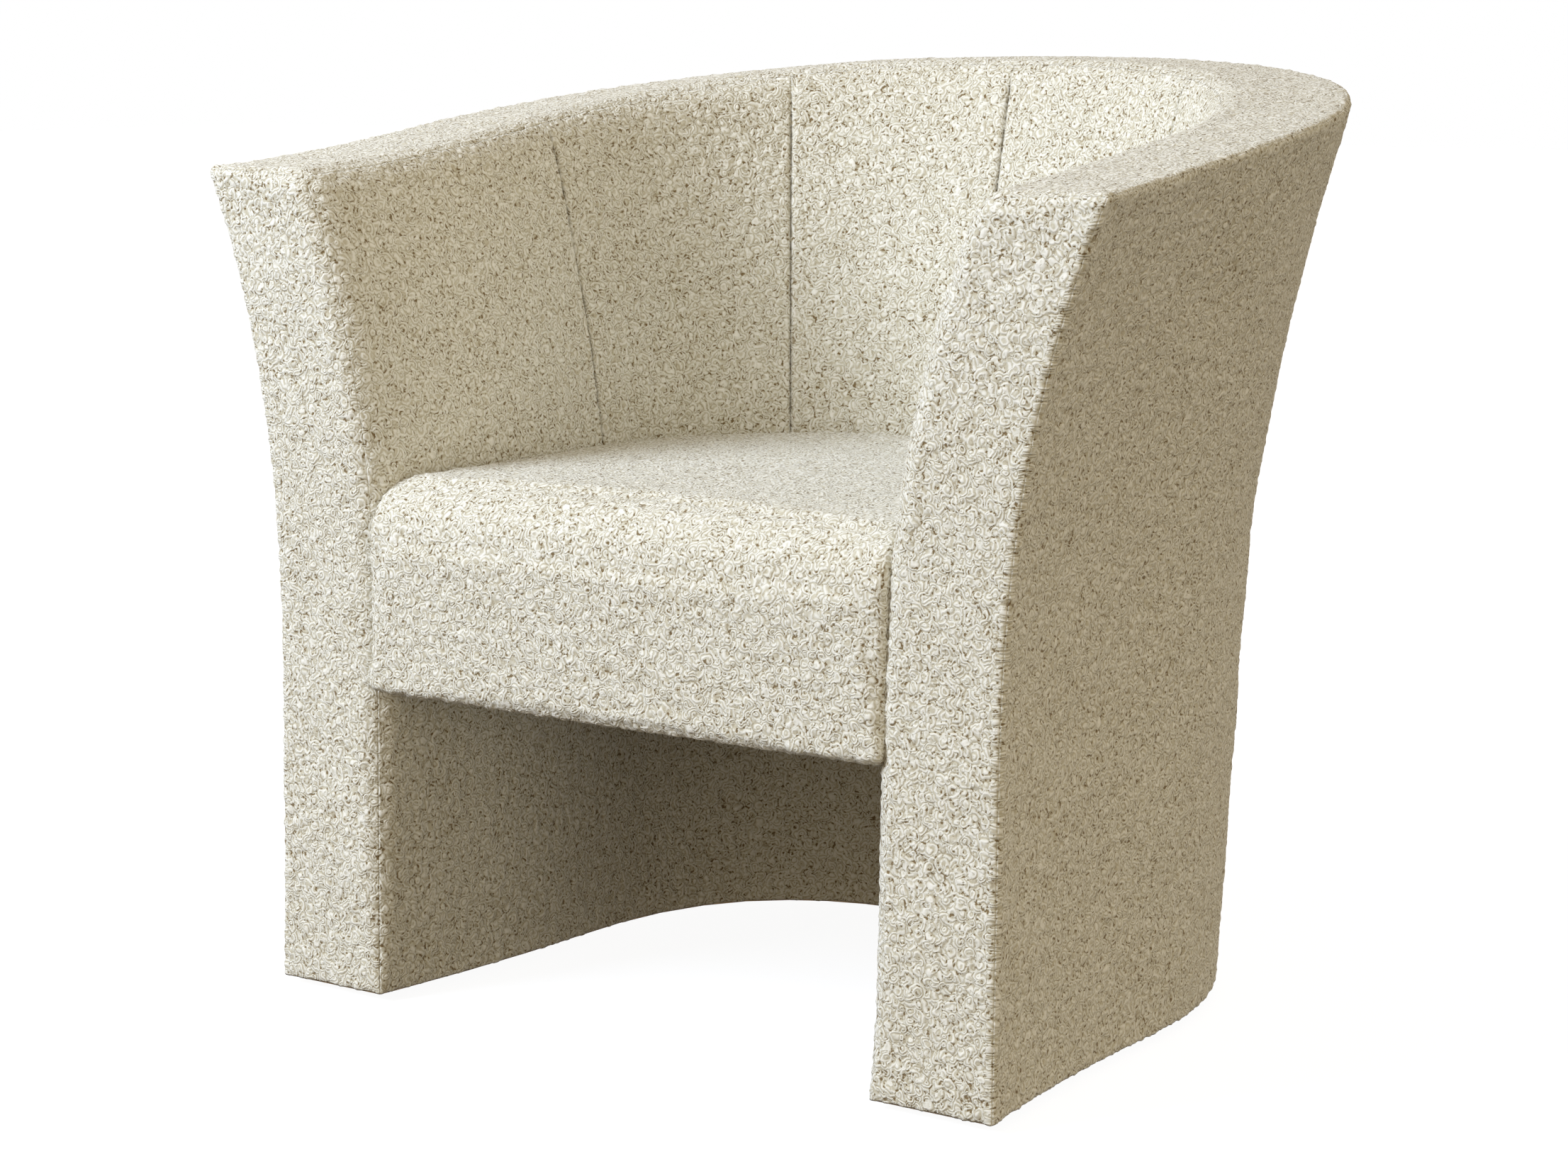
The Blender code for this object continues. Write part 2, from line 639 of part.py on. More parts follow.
def make_wall_covers():
    low = from_floor(SHELL_BOTTOM)
    under_rim = from_rim(RIM_COVER_DROP)
    ends = {"start": COVER + GAP, "stop": RUN - COVER - GAP}
    wall_piece("outer_cover", (0.0, COVER), low, under_rim, PILE, **ends)
    inner = (INNER_COVER, WALL)
    wall_piece("under_seat_cover", inner, low, from_floor(RAIL_BOTTOM - GAP), PILE, **ends)
    seams = [0.0] + [share * RUN for share in SEAM_SHARES] + [RUN]
    for number, (start, stop) in enumerate(zip(seams, seams[1:]), 1):
        wall_piece(
            f"inside_back_panel_{number}", inner, from_floor(UPPER_BOTTOM), under_rim, PILE,
            start=max(start + GAP / 2, ends["start"]), stop=min(stop - GAP / 2, ends["stop"]),
        )
    wall_piece("rim_cover", (0.0, WALL), from_rim(COVER), from_rim(0.0), PILE)
    for side, start in (("right", 0.0), ("left", RUN - COVER)):
        wall_piece(
            "arm_front_cover_" + side, (0.0, WALL), low, under_rim, PILE,
            start=start, stop=start + COVER,
        )


def make_seat_cover():
    """A boxed cover: rounded top, short skirts beside the foam and an apron down the front."""
    cover = seat_piece(
        "seat_cover",
        rounded_loops(
            APRON_HEIGHT, SEAT_HEIGHT, SEAT_COVER_DEPTH, APRON_SETBACK,
            SEAT_FRONT_RADIUS, SEAT_EDGE_RADIUS,
        ),
        PILE,
    )
    hollow = seat_piece(
        "seat_cover_hollow",
        rounded_loops(
            APRON_HEIGHT - WALL, SEAT_HEIGHT - COVER, SEAT_COVER_DEPTH + COVER,
            APRON_SETBACK + COVER, SEAT_FRONT_RADIUS - COVER, SEAT_EDGE_RADIUS,
        ),
        None, CUTTERS,
    )
    below = box(
        "seat_cover_below", (-1.0, APRON_SETBACK + COVER - MIDDLE, APRON_HEIGHT - WALL),
        (1.0, 1.0, UPPER_BOTTOM), None, CUTTERS,
    )
    cut(cover, hollow, "hollow")
    cut(cover, below, "below")


def make_dust_cover():
    top = RAIL_BOTTOM - GAP
    levels = (top - COVER / 2, top)
    seat_piece("seat_dust_cover", [(level, SEAT_COVER_DEPTH, RAIL_FRONT) for level in levels], LINING)


# ---- Glides --------------------------------------------------------------------------------------


def make_glides():
    """Nylon glides, each on a steel-hard pin driven up into the base plate."""
    head = GLIDE_HEIGHT
    profile = [
        (0.0, GLIDE_HEIGHT + GLIDE_PIN_LENGTH),
        (GLIDE_PIN_RADIUS, GLIDE_HEIGHT + GLIDE_PIN_LENGTH - GLIDE_PIN_RADIUS),
        (GLIDE_PIN_RADIUS, head),
        (GLIDE_RADIUS, head),
        (GLIDE_RADIUS, GLIDE_CHAMFER),
        (GLIDE_RADIUS - GLIDE_CHAMFER / 2, 0.0),
        (0.0, 0.0),
    ]
    mesh = bpy.data.meshes.new("glide")
    mesh.from_pydata(
        [(x, 0.0, z) for x, z in profile], [(i, i + 1) for i in range(len(profile) - 1)], []
    )
    plate = bpy.data.objects["base_plate"]
    runs = [share * RUN for share in GLIDE_SHARES]
    for side, places in (("right", runs), ("left", [RUN - run for run in runs])):
        for number, run in enumerate(places, 1):
            x, y, _ = wall_point(run, SHELL_BOTTOM, WALL / 2)
            glide = add_object(f"glide_{side}_{number}", mesh.copy(), NYLON)
            glide.location = (x, y, 0.0)
            turn = glide.modifiers.new("turn", "SCREW")
            turn.steps = GLIDE_STEPS
            turn.render_steps = GLIDE_STEPS
            turn.use_merge_vertices = True
            turn.merge_threshold = 0.00005
            work = bmesh.new()
            bmesh.ops.create_cone(
                work, cap_ends=True, segments=PIN_HOLE_STEPS, depth=2 * GLIDE_PIN_LENGTH,
                radius1=GLIDE_PIN_RADIUS + GLIDE_PIN_CLEARANCE,
                radius2=GLIDE_PIN_RADIUS + GLIDE_PIN_CLEARANCE,
            )
            hole = bpy.data.meshes.new("pin_hole")
            work.to_mesh(hole)
            work.free()
            cutter = add_object(f"pin_hole_{side}_{number}", hole, None, CUTTERS)
            cutter.location = (x, y, GLIDE_HEIGHT + GLIDE_PIN_CLEARANCE)
            cut(plate, cutter, cutter.name)


make_wall_frame()
make_skins()
make_seat_frame()
make_springs()
make_foam()
make_seat_padding()
make_wall_covers()
make_seat_cover()
make_dust_cover()
make_glides()
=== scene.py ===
"""Looks of the tub armchair: curly-pile covers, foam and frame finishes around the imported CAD.

Lengths are metres. A place in the chair's U-shaped wall is given by its run along the outer floor
line (right arm front round to the left one), its height, and its depth inwards from the outer face.
"""

import json
import logging
import math
from dataclasses import dataclass, field
from enum import Enum

import bmesh
import bpy
import numpy as np
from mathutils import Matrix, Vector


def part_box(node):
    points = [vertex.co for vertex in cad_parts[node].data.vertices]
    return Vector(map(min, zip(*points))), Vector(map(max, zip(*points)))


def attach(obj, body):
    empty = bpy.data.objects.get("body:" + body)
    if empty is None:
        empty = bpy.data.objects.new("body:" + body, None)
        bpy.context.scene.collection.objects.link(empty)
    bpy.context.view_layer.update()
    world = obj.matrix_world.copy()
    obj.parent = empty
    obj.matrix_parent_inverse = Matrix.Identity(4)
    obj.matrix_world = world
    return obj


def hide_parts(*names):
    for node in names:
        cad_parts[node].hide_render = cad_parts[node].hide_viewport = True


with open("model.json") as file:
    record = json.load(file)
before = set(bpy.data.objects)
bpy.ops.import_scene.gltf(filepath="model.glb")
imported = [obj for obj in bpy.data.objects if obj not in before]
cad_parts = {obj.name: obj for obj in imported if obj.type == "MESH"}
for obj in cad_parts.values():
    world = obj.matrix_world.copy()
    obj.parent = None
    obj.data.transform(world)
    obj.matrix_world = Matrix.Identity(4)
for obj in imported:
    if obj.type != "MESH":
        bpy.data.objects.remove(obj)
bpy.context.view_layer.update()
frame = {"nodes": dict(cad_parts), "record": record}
LOG = logging.getLogger("tub_armchair")


class Side(Enum):
    """The chair's own sides."""

    RIGHT = 1
    LEFT = -1


def eased(value: np.ndarray) -> np.ndarray:
    """Ease a share from 0 to 1 with level ends."""
    share = np.clip(value, 0.0, 1.0)
    return share * share * (3.0 - 2.0 * share)


# ---- The wall's shape ----------------------------------------------------------------------------


@dataclass
class WallShape:
    """The smooth shape of the padded wall that forms arms, back and legs."""

    half_width: float = 0.338
    arm_run: float = 0.253
    bow_depth: float = 0.350
    bow_power: float = 2.36
    front_splay: float = 0.0185
    thickness: float = 0.111
    arm_height: float = 0.690
    back_height: float = 0.778
    rim_rise_power: float = 1.33
    bottom: float = 0.0063
    side_flare: float = 0.080
    side_flare_start: float = 0.37
    side_flare_power: float = 2.45
    back_lean: float = 0.050
    back_flare: float = 0.050
    back_flare_start: float = 0.50
    back_flare_power: float = 1.4
    arm_front_lean: float = 0.019
    outer_edge: float = 0.0075
    inner_edge: float = 0.021
    floor_edge: float = 0.004
    line: np.ndarray = field(init=False, repr=False)

    def __post_init__(self) -> None:
        """Lay out the right half of the outer floor line: runs, x and y."""
        straight = np.linspace(0.0, self.arm_run, 60, endpoint=False)
        splay = self.front_splay * ((self.arm_run - straight) / self.arm_run) ** 2
        turn = np.linspace(0.0, math.pi / 2, 3000)
        bow_x = self.half_width * np.abs(np.cos(turn)) ** (2 / self.bow_power)
        bow_y = self.arm_run + self.bow_depth * np.sin(turn) ** (2 / self.bow_power)
        bow_x[-1] = 0.0
        x = np.concatenate([self.half_width + splay, bow_x])
        y = np.concatenate([straight, bow_y])
        runs = np.concatenate([[0.0], np.cumsum(np.hypot(np.diff(x), np.diff(y)))])
        self.line = np.stack([runs, x, y])

    @property
    def length(self) -> float:
        """Whole run of the outer floor line."""
        return 2 * float(self.line[0, -1])

    @property
    def middle(self) -> float:
        """Distance from the arm fronts' floor line to the chair's middle."""
        return (self.arm_run + self.bow_depth + self.back_lean + self.back_flare) / 2

    def on_line(self, run: np.ndarray) -> tuple[np.ndarray, np.ndarray, np.ndarray]:
        """Find places on the right or left floor line.

        Args:
            run: Runs along the wall.

        Returns:
            The side sign, the distance from the middle plane and the distance from the front.
        """
        near = np.minimum(run, self.length - run)
        side = np.where(run <= self.length / 2, 1.0, -1.0)
        return side, np.interp(near, self.line[0], self.line[1]), np.interp(
            near, self.line[0], self.line[2]
        )

    def back_share(self, run: np.ndarray) -> np.ndarray:
        """0 at the arm fronts, 1 at the middle of the back."""
        return np.clip(self.on_line(run)[2] / (self.arm_run + self.bow_depth), 0.0, 1.0)

    def rim(self, run: np.ndarray) -> np.ndarray:
        """Height of the rim above the floor."""
        rise = self.back_share(run) ** self.rim_rise_power
        return self.arm_height + (self.back_height - self.arm_height) * rise

    def flare(self, run: np.ndarray, height: np.ndarray) -> np.ndarray:
        """How far the outer face stands out from its floor line.

        Args:
            run: Distance round the wall from the right arm's front.
            height: Height above the floor.

        Returns:
            The distance, level and square to the wall.
        """
        share = self.back_share(run)
        level = height / self.rim(run)
        side = np.maximum(0.0, (level - self.side_flare_start) / (1 - self.side_flare_start))
        back = np.maximum(0.0, (level - self.back_flare_start) / (1 - self.back_flare_start))
        arms = self.side_flare * side**self.side_flare_power * (1 - share)
        return arms + (self.back_lean * level + self.back_flare * back**self.back_flare_power) * share

    def place(self, run: np.ndarray, height: np.ndarray, depth: np.ndarray) -> np.ndarray:
        """Turn wall places into points.

        Args:
            run: Runs along the wall.
            height: Heights above the floor.
            depth: Depths inwards from the outer face.

        Returns:
            Points, with x, y and z in the last axis.
        """
        side, x, y = self.on_line(run)
        bow = np.maximum(0.0, (y - self.arm_run) / self.bow_depth)
        across = (x / self.half_width) ** (self.bow_power - 1) / self.half_width
        across = np.where(y <= self.arm_run, 1.0, across)
        back = bow ** (self.bow_power - 1) / self.bow_depth
        size = np.hypot(across, back)
        out = self.flare(run, height) - depth
        lean = self.arm_front_lean * (height - self.bottom) * (1 - self.back_share(run))
        return np.stack([
            side * (x + across / size * out), y + back / size * out + lean - self.middle,
            height + 0.0 * out,
        ], axis=-1)

    def rounded(self, run: np.ndarray, height: np.ndarray, depth: np.ndarray) -> tuple:
        """Round the wall's edges.

        Args:
            run: Runs of places on the faces of the square-edged wall.
            height: Their heights.
            depth: Their depths.

        Returns:
            The rounded run, height and depth, and the outward direction in those three axes.
        """
        run, height, depth = np.broadcast_arrays(run, height, depth)
        tall = self.rim(run) - self.bottom
        inward = eased(depth / self.thickness)
        radius = self.outer_edge + (self.inner_edge - self.outer_edge) * inward
        low = np.exp(-(height - self.bottom) / 0.05)
        radius = radius + (self.floor_edge - radius) * low
        spot = np.stack([run, height - self.bottom, depth], axis=-1)
        size = np.stack([np.full_like(tall, self.length), tall, np.full_like(tall, self.thickness)], -1)
        core = np.clip(spot, radius[..., None], size - radius[..., None])
        away = (spot - core) / np.maximum(np.linalg.norm(spot - core, axis=-1), 1e-9)[..., None]
        spot = core + radius[..., None] * away
        share = spot[..., 1] / tall
        return spot[..., 0], self.bottom + share * (self.rim(spot[..., 0]) - self.bottom), \
            spot[..., 2], away

    def skin(self, run: np.ndarray, height: np.ndarray, depth: np.ndarray,
             away: np.ndarray) -> tuple[np.ndarray, np.ndarray]:
        """Find points of the wall and the directions that point straight out of it.

        Args:
            run: Runs along the wall.
            height: Heights above the floor.
            depth: Depths inwards from the outer face.
            away: Outward directions in run, height and depth.

        Returns:
            Points and unit directions.
        """
        step = 0.0003
        columns = []
        spot = [run, height, depth]
        for axis in range(3):
            after = [value + step * (axis == index) for index, value in enumerate(spot)]
            before = [value - step * (axis == index) for index, value in enumerate(spot)]
            after[0] = np.clip(after[0], 0.0, self.length)
            before[0] = np.clip(before[0], 0.0, self.length)
            gap = (after[axis] - before[axis])[..., None]
            columns.append((self.place(*after) - self.place(*before)) / gap)
        turned = np.linalg.inv(np.stack(columns, axis=-1))
        way = np.einsum("...ji,...j->...i", turned, away)
        return self.place(*spot), way / np.linalg.norm(way, axis=-1)[..., None]

    def inner_half_width(self, place: np.ndarray, height: float, depth: float) -> np.ndarray:
        """Half the clear width between the sides, this far behind the chair's front."""
        runs = np.linspace(0.0, self.length / 2, 2500)
        points = self.place(runs, np.full_like(runs, height), np.full_like(runs, depth))
        return np.interp(place - self.middle, points[:, 1], points[:, 0])


# ---- Making meshes -------------------------------------------------------------------------------


def body_mesh(name: str, points: np.ndarray, faces: np.ndarray,
              marks: dict[str, np.ndarray]) -> bpy.types.Object:
    """Make a smooth-shaded piece that rides on the chair.

    Args:
        name: Name of the piece.
        points: Its points, one a row.
        faces: Corners of its four-sided faces.
        marks: Numbers or directions kept on each point.

    Returns:
        The new object.
    """
    mesh = bpy.data.meshes.new(name)
    mesh.from_pydata(points.tolist(), [], faces.tolist())
    for title, values in marks.items():
        kind = "FLOAT_VECTOR" if values.ndim == 2 else "FLOAT"
        mark = mesh.attributes.new(title, kind, "POINT")
        mark.data.foreach_set("vector" if values.ndim == 2 else "value", values.ravel())
    mesh.polygons.foreach_set("use_smooth", np.ones(len(mesh.polygons), bool))
    piece = bpy.data.objects.new(name, mesh)
    bpy.context.scene.collection.objects.link(piece)
    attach(piece, "root")
    return piece


def grid_faces(rows: int, columns: int) -> np.ndarray:
    """Corners of the four-sided faces of a grid of points numbered row by row."""
    index = np.arange(rows * columns).reshape(rows, columns)
    return np.stack([index[:-1, :-1], index[:-1, 1:], index[1:, 1:], index[1:, :-1]], -1)


def shell_faces(rows: int, columns: int) -> np.ndarray:
    """Corners of the faces of a closed shell made from two grids, the second numbered after the first."""
    index = np.arange(rows * columns).reshape(rows, columns)
    top = grid_faces(rows, columns).reshape(-1, 4)
    faces = [top, top[:, ::-1] + rows * columns]
    for edge in (index[0], index[-1][::-1], index[:, -1], index[::-1, 0]):
        below = edge + rows * columns
        faces.append(np.stack([below[:-1], below[1:], edge[1:], edge[:-1]], -1))
    return np.concatenate(faces)


def grid_piece(name: str, points: np.ndarray, way: np.ndarray, marks: dict[str, np.ndarray],
               hem: float) -> bpy.types.Object:
    """Make a cover panel from a grid, with its four edges turned in.

    Args:
        name: Name of the piece.
        points: Grid of points.
        way: Outward direction at each.
        marks: Grids of numbers kept on the points.
        hem: Width of the turned-in edge.

    Returns:
        The new piece.
    """
    pad = ((1, 1), (1, 1))
    points = np.pad(points, (*pad, (0, 0)), mode="edge")
    way = np.pad(way, (*pad, (0, 0)), mode="edge")
    edge = np.zeros(points.shape[:2], bool)
    edge[[0, -1], :] = True
    edge[:, [0, -1]] = True
    points = points - way * (edge * hem)[..., None]
    rows, columns = edge.shape
    faces = grid_faces(rows, columns)
    corner = points.reshape(-1, 3)[faces[rows // 2, columns // 2]]
    if np.cross(corner[1] - corner[0], corner[3] - corner[0]) @ way[rows // 2, columns // 2] < 0:
        faces = faces[..., ::-1]
    kept = {title: np.pad(values, pad, mode="edge").ravel() for title, values in marks.items()}
    kept["way"] = way.reshape(-1, 3)
    return body_mesh(name, points.reshape(-1, 3), faces.reshape(-1, 4), kept)


def close_up(piece: bpy.types.Object, merge: float = 0.0) -> None:
    """Turn a closed mesh's faces outwards, once points within merge of one another are one.

    Args:
        piece: The piece.
        merge: Distance under which points are merged, or 0 to leave them.
    """
    work = bmesh.new()
    work.from_mesh(piece.data)
    if merge:
        bmesh.ops.remove_doubles(work, verts=work.verts, dist=merge)
    bmesh.ops.recalc_face_normals(work, faces=work.faces)
    work.to_mesh(piece.data)
    work.free()


def apply_all(piece: bpy.types.Object) -> None:
    """Replace a piece's mesh with its evaluated one and drop its modifiers."""
    graph = bpy.context.evaluated_depsgraph_get()
    mesh = bpy.data.meshes.new_from_object(piece.evaluated_get(graph))
    mesh.name = piece.name
    piece.modifiers.clear()
    piece.data = mesh


# ---- Node trees ----------------------------------------------------------------------------------


class Bench:
    """Adds nodes to one tree and joins them."""

    def __init__(self, tree: bpy.types.NodeTree) -> None:
        """Keep the tree."""
        self.tree = tree

    def node(self, kind: str, inputs: dict | None = None, **settings: object) -> bpy.types.Node:
        """Add a node.

        Args:
            kind: Its type name.
            inputs: Values or sockets, by input name or number.
            **settings: Its own settings.

        Returns:
            The node.
        """
        made = self.tree.nodes.new(kind)
        for title, value in settings.items():
            setattr(made, title, value)
        for title, value in (inputs or {}).items():
            self.join(value, made.inputs[title])
        return made

    def join(self, value: object, socket: bpy.types.NodeSocket) -> None:
        """Link a socket, or set a plain value."""
        if isinstance(value, bpy.types.NodeSocket):
            self.tree.links.new(value, socket)
        else:
            socket.default_value = value

    def math(self, operation: str, *values: object, clamp: bool = False) -> bpy.types.NodeSocket:
        """Add a Math node and return its result."""
        made = self.node("ShaderNodeMath", dict(enumerate(values)), operation=operation)
        made.use_clamp = clamp
        return made.outputs[0]

    def vector(self, operation: str, *values: object) -> bpy.types.NodeSocket:
        """Add a Vector Math node and return its vector."""
        made = self.node("ShaderNodeVectorMath", operation=operation)
        for socket, value in zip(made.inputs, values):
            self.join(value, socket)
        return made.outputs["Value" if operation in ("DOT_PRODUCT", "LENGTH") else "Vector"]

    def scaled(self, vector: object, scale: object) -> bpy.types.NodeSocket:
        """Scale a vector by a number."""
        made = self.node("ShaderNodeVectorMath", operation="SCALE")
        self.join(vector, made.inputs["Vector"])
        self.join(scale, made.inputs["Scale"])
        return made.outputs["Vector"]

    def eased(self, value: object, low: float, high: float) -> bpy.types.NodeSocket:
        """Ease a number from 0 at low to 1 at high."""
        made = self.node(
            "ShaderNodeMapRange", {"Value": value, "From Min": low, "From Max": high},
            interpolation_type="SMOOTHSTEP",
        )
        return made.outputs["Result"]

    def noise(self, place: object, scale: float, detail: float = 2.0) -> bpy.types.Node:
        """Add a Noise Texture."""
        return self.node("ShaderNodeTexNoise", {"Vector": place, "Scale": scale, "Detail": detail})

    def mix(self, share: object, first: object, second: object,
            blend: str = "MIX") -> bpy.types.NodeSocket:
        """Mix two colours."""
        made = self.node("ShaderNodeMix", data_type="RGBA", blend_type=blend)
        for socket, value in zip((made.inputs[0], made.inputs[6], made.inputs[7]),
                                 (share, first, second)):
            self.join(value, socket)
        return made.outputs[2]

    def ramp(self, value: object, stops: list[tuple[float, tuple]]) -> bpy.types.NodeSocket:
        """Turn a number into a colour.

        Args:
            value: The number, from 0 to 1.
            stops: Places along the ramp, with their colours.

        Returns:
            The colour.
        """
        made = self.node("ShaderNodeValToRGB", {"Fac": value})
        made.color_ramp.elements[0].position = stops[0][0]
        made.color_ramp.elements[0].color = (*stops[0][1], 1.0)
        made.color_ramp.elements[1].position = stops[-1][0]
        made.color_ramp.elements[1].color = (*stops[-1][1], 1.0)
        for position, colour in stops[1:-1]:
            made.color_ramp.elements.new(position).color = (*colour, 1.0)
        return made.outputs["Color"]


@dataclass(frozen=True)
class Finish:
    """A finish with its own procedural material. A grained one is laid by the piece's sides."""

    name: str = "finish"
    grained: bool = False

    def start(self, suffix: str = "") -> tuple:
        """Make an empty material.

        Args:
            suffix: Ending of its name.

        Returns:
            The material, its bench, its shader and the place socket.
        """
        made = bpy.data.materials.new(self.name + suffix)
        made.use_nodes = True
        bench = Bench(made.node_tree)
        place = bench.node("ShaderNodeTexCoord").outputs["Object"]
        return made, bench, made.node_tree.nodes["Principled BSDF"], place

    def grain(self, bench: Bench, place: object, long: int, across: float, along: float,
              detail: float) -> bpy.types.NodeSocket:
        """Add noise drawn out along one axis.

        Args:
            bench: Tree to add to.
            place: Socket with the place, in metres.
            long: Axis of the grain, 0 to 2.
            across: Scale across the grain.
            along: Scale along it.
            detail: Finer octaves of the noise.

        Returns:
            The noise's socket.
        """
        squeeze = [across] * 3
        squeeze[long] = along
        return bench.noise(bench.vector("MULTIPLY", place, tuple(squeeze)), 1.0, detail).outputs["Fac"]

    def raised(self, bench: Bench, shader: bpy.types.Node, height: object, distance: float,
               strength: float = 0.7) -> None:
        """Give the surface fine relief.

        Args:
            bench: Tree to add to.
            shader: The material's shader.
            height: Socket with the height, 0 to 1.
            distance: Height that 1 stands for, in metres.
            strength: Share of the relief that shows.
        """
        bump = bench.node(
            "ShaderNodeBump", {"Strength": strength, "Distance": distance, "Height": height}
        )
        bench.join(bump.outputs[0], shader.inputs["Normal"])


# ---- Fabric --------------------------------------------------------------------------------------


@dataclass(frozen=True)
class CurlLayer:
    """One layer of looped yarn curls."""

    size: float
    ring: float
    shift: tuple[float, float, float]
    off_centre: float = 0.95

    def nodes(self, bench: Bench, place: object) -> tuple:
        """Lay the curls out.

        Args:
            bench: Tree to add to.
            place: Socket with the place, in metres.

        Returns:
            Sockets: dome of the curl, its yarn rings, and its own random number.
        """
        spot = bench.scaled(bench.vector("ADD", place, self.shift), 1 / self.size)
        cells = bench.node("ShaderNodeTexVoronoi", {"Vector": spot, "Scale": 1.0})
        colour = bench.node("ShaderNodeSeparateXYZ", {"Vector": cells.outputs["Color"]})
        dome = bench.eased(cells.outputs["Distance"], 0.75, 0.05)
        arm = bench.vector("SUBTRACT", spot, cells.outputs["Position"])
        lean = bench.vector("SUBTRACT", cells.outputs["Color"], (0.5, 0.5, 0.5))
        reach = bench.vector("LENGTH", bench.vector("ADD", arm, bench.scaled(lean, self.off_centre)))
        turns = bench.math("MULTIPLY_ADD", reach, self.size / self.ring, colour.outputs["X"])
        wave = bench.math("COSINE", bench.math("MULTIPLY", turns, math.tau))
        ring = bench.math("MULTIPLY_ADD", wave, 0.5, 0.5)
        return dome, ring, colour.outputs["Y"]


@dataclass(frozen=True)
class CurlyPile(Finish):
    """Cream looped-curl fabric, with painted shade in the low places of its pile and in its seams."""

    name: str = "cream_curly_pile"
    big: CurlLayer = CurlLayer(0.0092, 0.0030, (0.0, 0.0, 0.0))
    small: CurlLayer = CurlLayer(0.0074, 0.0025, (0.313, 0.177, 0.491))
    relief: float = 0.0015
    bump: float = 0.0007
    # The first two colours are painted shade: the pits and crevices of the pile darken as if in shade.
    pit: tuple = (0.22, 0.150, 0.065)
    painted_crevice_shade: tuple = (0.63, 0.590, 0.470)
    body: tuple = (0.78, 0.770, 0.70)
    tip: tuple = (0.95, 0.945, 0.91)
    bend: float = 0.0060
    bend_scale: float = 120.0
    pull: tuple = (0.36, 0.36, 1.35)
    pull_above: float = 0.72
    overlap: float = 0.06
    fuzz_scale: float = 420.0
    hole_scale: float = 320.0
    gap_scale: float = 170.0
    cloud_scale: float = 9.0
    ring_share: float = 0.56
    lump_share: float = 0.18
    fuzz_share: float = 0.26
    hole_share: float = -0.38
    hole_band: tuple = (0.42, 0.31)
    cloud_tint: tuple = (0.93, 0.90, 0.82, 1.0)
    curl_tint: tuple = (0.80, 0.77, 0.69, 1.0)
    # Painted shade for the creases of the seams.
    painted_seam_shade: tuple = (0.22, 0.20, 0.165, 1.0)
    lump_level: float = 0.5
    tone_lift: float = 0.35
    seam_hold: float = -0.8

    def warped(self, bench: Bench, place: object) -> bpy.types.NodeSocket:
        """Wander the place a little, so that no curl is round."""
        bend = bench.noise(place, self.bend_scale, 1.0).outputs["Color"]
        return bench.vector(
            "ADD", place, bench.scaled(bench.vector("SUBTRACT", bend, (0.5, 0.5, 0.5)), self.bend)
        )

    def curls(self, bench: Bench, place: object, band: object) -> tuple:
        """Lay both layers of curls, one on the other by turns.

        Args:
            bench: Tree to add to.
            place: Socket with the place, in metres.
            band: Socket that is 1 on an edge where the yarn is pulled across it.

        Returns:
            Sockets: lumps, yarn height and tone.
        """
        ragged = bench.math("MULTIPLY", bench.noise(place, self.bend_scale).outputs["Fac"], 0.5)
        pulled = bench.math("GREATER_THAN", bench.math("ADD", band, ragged), self.pull_above)
        across = bench.vector("MULTIPLY", place, self.pull)
        either = bench.node("ShaderNodeMix", {0: pulled, 4: place, 5: across}, data_type="VECTOR")
        warped = self.warped(bench, either.outputs[1])
        dome_a, ring_a, tone_a = self.big.nodes(bench, warped)
        dome_b, ring_b, tone_b = self.small.nodes(bench, warped)
        above_a = bench.math("MULTIPLY_ADD", tone_a, 0.5, dome_a)
        above_b = bench.math("MULTIPLY_ADD", tone_b, 0.5, dome_b)
        first = bench.eased(bench.math("SUBTRACT", above_a, above_b), -self.overlap, self.overlap)
        both = []
        for one, two in ((dome_a, dome_b), (ring_a, ring_b), (tone_a, tone_b)):
            made = bench.node("ShaderNodeMix", {0: first, 2: two, 3: one}, data_type="FLOAT")
            both.append(made.outputs[0])
        return tuple(both)

    def relief_group(self) -> bpy.types.NodeTree:
        """Make the node group that raises the curls on a cover's mesh."""
        tree = bpy.data.node_groups.new("pile_relief", "GeometryNodeTree")
        tree.interface.new_socket("Geometry", in_out="INPUT", socket_type="NodeSocketGeometry")
        tree.interface.new_socket("Geometry", in_out="OUTPUT", socket_type="NodeSocketGeometry")
        bench = Bench(tree)
        start = bench.node("NodeGroupInput")
        place = bench.node("GeometryNodeInputPosition").outputs[0]
        band = bench.node("GeometryNodeInputNamedAttribute", {"Name": "band"}, data_type="FLOAT")
        lump, _, tone = self.curls(bench, place, band.outputs[0])
        way = bench.node("GeometryNodeInputNamedAttribute", {"Name": "way"}, data_type="FLOAT_VECTOR")
        tuck = bench.node("GeometryNodeInputNamedAttribute", {"Name": "tuck"}, data_type="FLOAT")
        height = bench.math("MULTIPLY_ADD", tone, self.tone_lift, lump)
        height = bench.math("SUBTRACT", height, self.lump_level)
        height = bench.math("MULTIPLY", height, self.relief)
        free = bench.math("MULTIPLY_ADD", tuck.outputs[0], self.seam_hold, 1.0)
        height = bench.math("MULTIPLY", height, free)
        offset = bench.scaled(way.outputs[0], height)
        moved = bench.node("GeometryNodeSetPosition",
                           {"Geometry": start.outputs[0], "Offset": offset})
        end = bench.node("NodeGroupOutput")
        tree.links.new(moved.outputs[0], end.inputs[0])
        return tree

